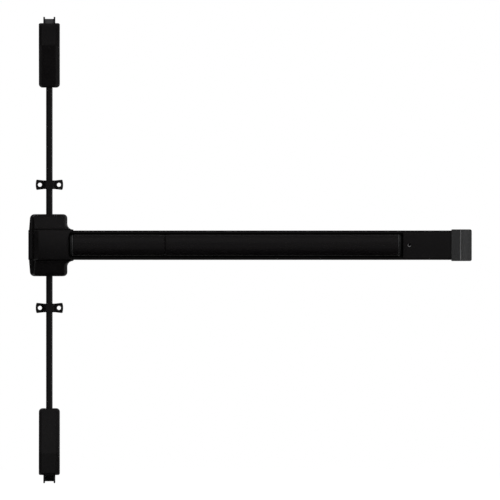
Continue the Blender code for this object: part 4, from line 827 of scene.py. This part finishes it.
def pad_cap(side):
    """The moulded cap at one end of the pad, with a small raised trim round it whose bright steel is a
    painted highlight line.
    """
    node = "pad_" + side + "_cap"
    low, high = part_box(node)
    if side == "left":
        outer, inner, past, trim_x = low.x, high.x, -CUT_PAST, low.x + PAD_LEFT_TRIM
    else:
        outer, inner, past, trim_x = high.x - PAD_RIGHT_GAP, low.x, CUT_PAST, low.x + PAD_RIGHT_TRIM
    face = fillet([(outer, -PAD_HALF, PAD_CAP_CORNER), (outer, PAD_HALF, PAD_CAP_CORNER),
                   (inner, PAD_HALF, 0), (inner, -PAD_HALF, 0)])
    blank = prism("Y", low.y - CUT_PAST, high.y + CUT_PAST, face)
    block = prism("X", *sorted((outer + past, inner)), fillet(pad_section(0)))
    cap = edge_rounded(carved(block, [blank], "INTERSECT"), PAD_CAP_EDGE_ROUND, angle=50.0, segments=4)
    notch = box((low.x - CUT_PAST, high.x + CUT_PAST), (low.y + PAD_CAP_FACE, CUT_PAST),
                (-PAD_CAP_NOTCH_HALF, PAD_CAP_NOTCH_HALF))
    piece(node + "_moulding", carved(cap, [notch]), PAD_CAP_GREY, "push_pad", [node], sharp=40.0)
    ring = fillet(pad_section(-PAD_TRIM_STANDOUT) + pad_section(PAD_TRIM_SUNK)[::-1])
    band = prism("X", trim_x - PAD_TRIM_HALF, trim_x + PAD_TRIM_HALF, ring)
    trim = edge_rounded(band, PAD_TRIM_EDGE_ROUND)
    piece(node + "_trim", trim, TRIM_HIGHLIGHT_STEEL, "push_pad", sharp=30.0)


# Cover plate and the rim of its key hole, whose near-white steel is a painted highlight

PLATE_CORNER = 0.6 * MM
PLATE_CORNER_STEPS = 3
PLATE_EDGE_ROUND = 0.45 * MM
KEY_HOLE_RADIUS = 3.3 * MM
KEY_RIM_FIT = 0.03 * MM
KEY_RIM_INNER = 2.5 * MM
KEY_RIM_OFFSET = 0.7 * MM
KEY_RIM_FRONT = 0.1 * MM
KEY_RIM_SLOPE = 0.38 * MM
KEY_RIM_BACK = 1.9 * MM


def cover_plate():
    """The plate beyond the pad, with a rimmed hole for the dogging key."""
    low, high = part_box("cover_plate")
    key_low, key_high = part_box("dogging_screw")
    key_x = (key_low.x + key_high.x) / 2
    corners = [(low.x, low.z), (high.x, low.z), (high.x, high.z), (low.x, high.z)]
    outline = fillet([(x, z, PLATE_CORNER) for x, z in corners], PLATE_CORNER_STEPS)
    blank = prism("Y", low.y, high.y, outline, [circle(key_x, 0.0, KEY_HOLE_RADIUS)])
    plate = edge_rounded(blank, PLATE_EDGE_ROUND)
    body = BODY_OF["cover_plate"]
    piece("end_plate", plate, RAIL_BLACK, body, ["cover_plate"], sharp=30.0)
    piece("key_hole_highlight_rim", key_rim(key_x, low.y), RIM_HIGHLIGHT_STEEL, body, sharp=30.0)


def key_rim(x, front):
    """A countersunk rim in the key hole, wider below; its near-white steel is a painted highlight on the
    rim's lower slope.
    """
    outer = circle(x, 0.0, KEY_HOLE_RADIUS - KEY_RIM_FIT)
    inner = circle(x, KEY_RIM_OFFSET, KEY_RIM_INNER)
    rings = [[(u, front + depth, v) for u, v in ring] for ring, depth in (
        (outer, KEY_RIM_FRONT), (inner, KEY_RIM_FRONT + KEY_RIM_SLOPE),
        (inner, KEY_RIM_BACK), (outer, KEY_RIM_BACK))]
    bm = bmesh.new()
    loops = [[bm.verts.new(point) for point in ring] for ring in rings]
    for near, far in zip(loops, loops[1:] + loops[:1]):
        for k in range(len(near)):
            j = (k + 1) % len(near)
            bm.faces.new((near[k], near[j], far[j], far[k]))
    return from_bmesh(bm)


# End cap and the bead down its ridge, a painted highlight

END_CAP_RIDGE = 17.5 * MM
END_CAP_WALL = 1.9 * MM
END_CAP_NOSE_DEPTH = 30.0 * MM
END_CAP_NOSE_ROUND = 3.0 * MM
END_CAP_NOSE_BULGE = 1.5 * MM
END_CAP_NOSE_STEPS = 9
END_CAP_START_CORNER = 1.6 * MM
END_CAP_END_CORNER = 3.6 * MM
END_CAP_EDGE_ROUND = 1.2 * MM
END_CAP_BEAD_HALF = 0.9 * MM
END_CAP_BEAD_HEIGHT = 0.6 * MM
END_CAP_BEAD_SUNK = 0.1 * MM
END_CAP_BEAD_INSET = 1.4 * MM
END_CAP_BEAD_EDGE_ROUND = 0.25 * MM
END_CAP_BEAD_STEPS = 12


def end_cap_profile(wall):
    """The end cap seen from above, drawn in by a wall: a flat, then a slightly bulging nose."""
    low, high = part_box("end_cap")
    front = low.y + END_CAP_BEAD_HEIGHT
    ridge = low.x + END_CAP_RIDGE
    start = low.x - (CUT_PAST if wall else 0)
    end = high.x - wall
    nose = []
    for k in range(1, END_CAP_NOSE_STEPS):
        share = k / END_CAP_NOSE_STEPS
        bulge = 4 * END_CAP_NOSE_BULGE * share * (1 - share)
        fall = share * (-END_CAP_NOSE_DEPTH - front)
        nose.append((ridge + share * (end - ridge), front + wall - bulge + fall, 0))
    return fillet([(start, CUT_PAST, 0), (start, front + wall, 0), (ridge, front + wall, 0), *nose,
                   (end, -END_CAP_NOSE_DEPTH + wall, END_CAP_NOSE_ROUND), (end, CUT_PAST, 0)])


def end_cap():
    """The hollow cap over the rail's end, open towards the rail and the door."""
    low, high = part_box("end_cap")
    start, end, half = low.x, high.x, high.z
    inner_half = half - END_CAP_WALL
    face = fillet([(start, -half, END_CAP_START_CORNER), (end, -half, END_CAP_END_CORNER),
                   (end, half, END_CAP_END_CORNER), (start, half, END_CAP_START_CORNER)])
    blank = prism("Y", low.y - CUT_PAST, CUT_PAST, face)
    shell = carved(prism("Z", -half, half, end_cap_profile(0.0)), [blank], "INTERSECT")
    shell = edge_rounded(shell, END_CAP_EDGE_ROUND, angle=30.0, segments=4)
    hollow = prism("Z", -inner_half, inner_half, end_cap_profile(END_CAP_WALL))
    past = half + CUT_PAST
    door = box((start - CUT_PAST, end + CUT_PAST), (0.0, 3 * CUT_PAST), (-past, past))
    mesh = carved(shell, [hollow, door])
    piece("end_cap_casting", mesh, CAP_GREY, BODY_OF["end_cap"], ["end_cap"], sharp=30.0)


def end_cap_bead():
    """A half-round bead down the end cap's ridge, in near-white steel: a painted highlight along the ridge.
    """
    low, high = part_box("end_cap")
    ridge = low.x + END_CAP_RIDGE
    foot = low.y + END_CAP_BEAD_HEIGHT + END_CAP_BEAD_SUNK
    outline = []
    for k in range(END_CAP_BEAD_STEPS + 1):
        angle = math.pi * k / END_CAP_BEAD_STEPS
        outline.append(Vector((ridge + END_CAP_BEAD_HALF * math.cos(angle),
                               foot - (END_CAP_BEAD_HEIGHT + END_CAP_BEAD_SUNK) * math.sin(angle))))
    reach = high.z - END_CAP_BEAD_INSET
    bead = edge_rounded(prism("Z", -reach, reach, outline), END_CAP_BEAD_EDGE_ROUND, angle=60.0, segments=2)
    piece("end_cap_bead", bead, BEAD_HIGHLIGHT_STEEL, BODY_OF["end_cap"], sharp=30.0)


# Springs

SPRING_WIRE_RADIUS = 0.7 * MM
SPRING_ROUND_STEPS = 3
SPRING_TURNS = 8
SPRING_CLOSED_TURNS = 1.0
SPRING_CLOSED_PITCH = 2.1 * SPRING_WIRE_RADIUS
SPRING_STEPS = 24


def coil_height(turn, near, far):
    """The height of the spring's wire after some turns: closed at both ends and even between."""
    rise = SPRING_CLOSED_PITCH * SPRING_CLOSED_TURNS
    if turn <= SPRING_CLOSED_TURNS:
        return near + SPRING_CLOSED_PITCH * turn
    if turn >= SPRING_TURNS - SPRING_CLOSED_TURNS:
        return far - SPRING_CLOSED_PITCH * (SPRING_TURNS - turn)
    share = (turn - SPRING_CLOSED_TURNS) / (SPRING_TURNS - 2 * SPRING_CLOSED_TURNS)
    return near + rise + share * (far - near - 2 * rise)


def latch_spring(name):
    """A round-wire compression spring with closed ends, riding on its latch's body."""
    node = name + "_latch_spring"
    low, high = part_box(node)
    radius = (high.x - low.x) / 2 - SPRING_WIRE_RADIUS
    centre_y = (low.y + high.y) / 2
    curve = bpy.data.curves.new(node, "CURVE")
    curve.dimensions = "3D"
    curve.bevel_depth = SPRING_WIRE_RADIUS
    curve.bevel_resolution = SPRING_ROUND_STEPS
    curve.use_fill_caps = True
    spline = curve.splines.new("POLY")
    spline.points.add(SPRING_STEPS * SPRING_TURNS)
    for k, point in enumerate(spline.points):
        turn = k / SPRING_STEPS
        angle = 2 * math.pi * turn
        height = coil_height(turn, low.z + SPRING_WIRE_RADIUS, high.z - SPRING_WIRE_RADIUS)
        point.co = (radius * math.cos(angle), centre_y + radius * math.sin(angle), height, 1)
    mesh = baked_curve(curve, Matrix.Identity(4))
    spring = piece(name + "_return_spring", mesh, SPRING_STEEL, BODY_OF[node], [node],
                   sharp=40.0)
    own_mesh(spring)


# Light, floor and camera

# What reflections see in front of the device, by a direction's height and by how far it points
# aside, and what they see at the sides and behind, by height. Each place is 0 where that part of the
# direction is -1 and 1 where it is 1, and has its level of light with it.
FRONT_BY_HEIGHT = [(0.0, 0.0), (0.18, 0.002), (0.33, 0.018), (0.42, 0.07), (0.50, 0.135), (0.60, 0.24),
                   (0.72, 0.22), (0.85, 0.12), (1.0, 0.10)]
FRONT_ASIDE = [(0.0, 0.20), (0.14, 0.05), (0.25, 0.05), (0.33, 0.25), (0.42, 0.95), (0.5, 1.0),
               (0.58, 0.95), (0.65, 0.35), (0.72, 0.05), (0.82, 0.05), (0.86, 1.0), (0.89, 3.6),
               (0.94, 2.8), (0.97, 0.2)]
SIDES_BY_HEIGHT = [(0.0, 0.30), (0.12, 0.40), (0.22, 0.32), (0.32, 0.24), (0.38, 0.08), (0.43, 0.0),
                   (0.61, 0.0), (0.70, 0.14), (0.85, 0.30), (1.0, 0.20)]
BACK_BY_HEIGHT = [(0.0, 0.10), (0.20, 0.30), (0.32, 0.35), (0.40, 0.15), (0.44, 0.0), (0.56, 0.0),
                  (0.64, 0.25), (0.78, 0.40), (0.90, 0.30), (1.0, 0.12)]

# Between which parts of a direction the sides, the back and the pale backdrop take over
SIDES_FADE = (0.33, 0.48)
BACK_FADE = (0.50, 0.72)
BACKDROP_FADE = (0.95, 0.985)
BACKDROP_LEVEL = 0.55
SOFT_LEVEL = 0.45
WHITE = (1.0, 1.0, 1.0)


def ramp_node(tree, value, stops):
    """Levels at places from 0 to 1, with an even change between them."""
    node = tree.nodes.new("ShaderNodeValToRGB")
    elements = node.color_ramp.elements
    elements[1].position = stops[-1][0]
    elements[0].position = stops[0][0]
    for position, _ in stops[1:-1]:
        elements.new(position)
    for element, (position, level) in zip(elements, stops):
        element.color = (level, level, level, 1.0)
    tree.links.new(value, node.inputs["Fac"])
    return node.outputs["Color"]


def separate_backgrounds(tree, reflected):
    """White to the camera and through glass, the reflected studio in gloss, and soft light elsewhere."""

    def background(colour, strength):
        node = tree.nodes.new("ShaderNodeBackground")
        if isinstance(colour, tuple):
            node.inputs["Color"].default_value = (*colour, 1.0)
        else:
            tree.links.new(colour, node.inputs["Color"])
        node.inputs["Strength"].default_value = strength
        return node.outputs["Background"]

    def pick(factor, without, with_it):
        node = tree.nodes.new("ShaderNodeMixShader")
        tree.links.new(factor, node.inputs["Fac"])
        tree.links.new(without, node.inputs[1])
        tree.links.new(with_it, node.inputs[2])
        return node.outputs["Shader"]

    path = tree.nodes.new("ShaderNodeLightPath")
    soft = background(WHITE, SOFT_LEVEL)
    glossy = pick(path.outputs["Is Glossy Ray"], soft, background(reflected, 1.0))
    clear = pick(path.outputs["Is Transmission Ray"], glossy, background(WHITE, 1.0))
    return pick(path.outputs["Is Camera Ray"], clear, background(WHITE, 1.0))


def studio():
    """A white world for the camera, and for reflections a dim soft studio round the device."""
    world = bpy.data.worlds.new("studio")
    bpy.context.scene.world = world
    world.use_nodes = True
    tree = world.node_tree
    tree.nodes.clear()
    output = tree.nodes.new("ShaderNodeOutputWorld")
    coordinates = tree.nodes.new("ShaderNodeTexCoord")
    axes = tree.nodes.new("ShaderNodeSeparateXYZ")
    tree.links.new(coordinates.outputs["Generated"], axes.inputs["Vector"])

    def by_direction(axis, stops):
        return ramp_node(tree, spread(tree, axes.outputs[axis], 0.0, 1.0, -1.0, 1.0), stops)

    def fade(value, ends):
        return spread(tree, value, 0.0, 1.0, *ends)

    width = tree.nodes.new("ShaderNodeMath")
    width.operation = "ABSOLUTE"
    tree.links.new(axes.outputs["X"], width.inputs[0])
    rise = by_direction("Z", FRONT_BY_HEIGHT)
    aside = by_direction("X", FRONT_ASIDE)
    front = blended(tree, "MULTIPLY", 1.0, rise, aside)
    sides = by_direction("Z", SIDES_BY_HEIGHT)
    round_front = blended(tree, "ADD", fade(width.outputs["Value"], SIDES_FADE), front, sides)
    back = by_direction("Z", BACK_BY_HEIGHT)
    around = mixed(tree, fade(axes.outputs["Y"], BACK_FADE), round_front, back)
    reflected = mixed(tree, fade(axes.outputs["Y"], BACKDROP_FADE), around, (BACKDROP_LEVEL,) * 3)
    tree.links.new(separate_backgrounds(tree, reflected), output.inputs["Surface"])


LAMP_POWER = 50.0
LAMPS = {
    "overhead": {"place": (0.39, -1.2, 2.4), "target": (0.39, -0.03, 0.0), "size": (2.4, 1.2)},
    "front_right": {"place": (2.9, -1.7, 0.5), "target": (0.6, -0.03, 0.0), "size": (1.4, 1.4)},
}


def lamp(name, place, target, size):
    """A broad lamp that shapes the diffuse tones and isn't seen in reflections."""
    light = bpy.data.lights.new(name, "AREA")
    light.shape = "RECTANGLE"
    light.size, light.size_y = size
    light.energy = LAMP_POWER
    obj = bpy.data.objects.new(name, light)
    bpy.context.scene.collection.objects.link(obj)
    obj.location = place
    obj.rotation_euler = (Vector(target) - Vector(place)).to_track_quat("-Z", "Y").to_euler()
    obj.visible_glossy = False


FLOOR_REACH = 6.0
FLOOR_DROP = 0.06
FLOOR_GLOW = 0.62
FLOOR_ROUGHNESS = 0.9
FLOOR_GRAIN = 3.0
FLOOR_DARK = (0.80, 0.80, 0.80)
FLOOR_LIGHT = (0.82, 0.82, 0.82)


def floor():
    """A pale floor that keeps the device's shadow and looks white to the camera."""
    mesh = bpy.data.meshes.new("floor")
    height = CAD_BOX[0].z - FLOOR_DROP
    corners = [(-1, -1), (1, -1), (1, 1), (-1, 1)]
    mesh.from_pydata([(FLOOR_REACH * x, FLOOR_REACH * y, height) for x, y in corners], [], [(0, 1, 2, 3)])
    obj = bpy.data.objects.new("floor", mesh)
    bpy.context.scene.collection.objects.link(obj)
    material, tree, shader = shader_tree("floor_white")
    shader.inputs["Roughness"].default_value = FLOOR_ROUGHNESS
    shader.inputs["Specular IOR Level"].default_value = 0.0
    uneven = noise(tree, place_node(tree), FLOOR_GRAIN)
    tree.links.new(mixed(tree, uneven, FLOOR_DARK, FLOOR_LIGHT), shader.inputs["Base Color"])
    glow = tree.nodes.new("ShaderNodeEmission")
    glow.inputs["Strength"].default_value = FLOOR_GLOW
    both = tree.nodes.new("ShaderNodeAddShader")
    tree.links.new(shader.outputs["BSDF"], both.inputs[0])
    tree.links.new(glow.outputs["Emission"], both.inputs[1])
    path = tree.nodes.new("ShaderNodeLightPath")
    choice = tree.nodes.new("ShaderNodeMixShader")
    tree.links.new(path.outputs["Is Camera Ray"], choice.inputs["Fac"])
    tree.links.new(shader.outputs["BSDF"], choice.inputs[1])
    tree.links.new(both.outputs["Shader"], choice.inputs[2])
    tree.links.new(choice.outputs["Shader"], tree.nodes["Material Output"].inputs["Surface"])
    mesh.materials.append(material)
    obj.visible_glossy = False


VIEW_WIDTH = 0.970
VIEW_CENTRE = (0.3896, -0.0093)
CAMERA_DISTANCE = 30.0
MIDDLE_DEPTH = 0.04
SENSOR_WIDTH = 36.0
NEAREST_SEEN = 1.0
FARTHEST_SEEN = 200.0


def camera():
    """A long lens straight in front, so that the picture has almost no perspective."""
    data = bpy.data.cameras.new("camera")
    data.sensor_width = SENSOR_WIDTH
    data.lens = CAMERA_DISTANCE * SENSOR_WIDTH / VIEW_WIDTH
    data.clip_start = NEAREST_SEEN
    data.clip_end = FARTHEST_SEEN
    obj = bpy.data.objects.new("camera", data)
    bpy.context.scene.collection.objects.link(obj)
    obj.location = (VIEW_CENTRE[0], -CAMERA_DISTANCE - MIDDLE_DEPTH, VIEW_CENTRE[1])
    obj.rotation_euler = (math.radians(90), 0, 0)
    bpy.context.scene.camera = obj


def main():
    dress_cad_nodes()
    centre_case()
    latch_cover("top")
    latch_cover("bottom")
    rod_guide("top_guide")
    rod_guide("bottom_guide")
    pad_bar()
    pad_cap("left")
    pad_cap("right")
    cover_plate()
    end_cap()
    end_cap_bead()
    latch_spring("top")
    latch_spring("bottom")
    studio()
    for name, facts in LAMPS.items():
        lamp(name, **facts)
    floor()
    camera()
    bpy.context.scene.view_settings.view_transform = "Standard"


main()
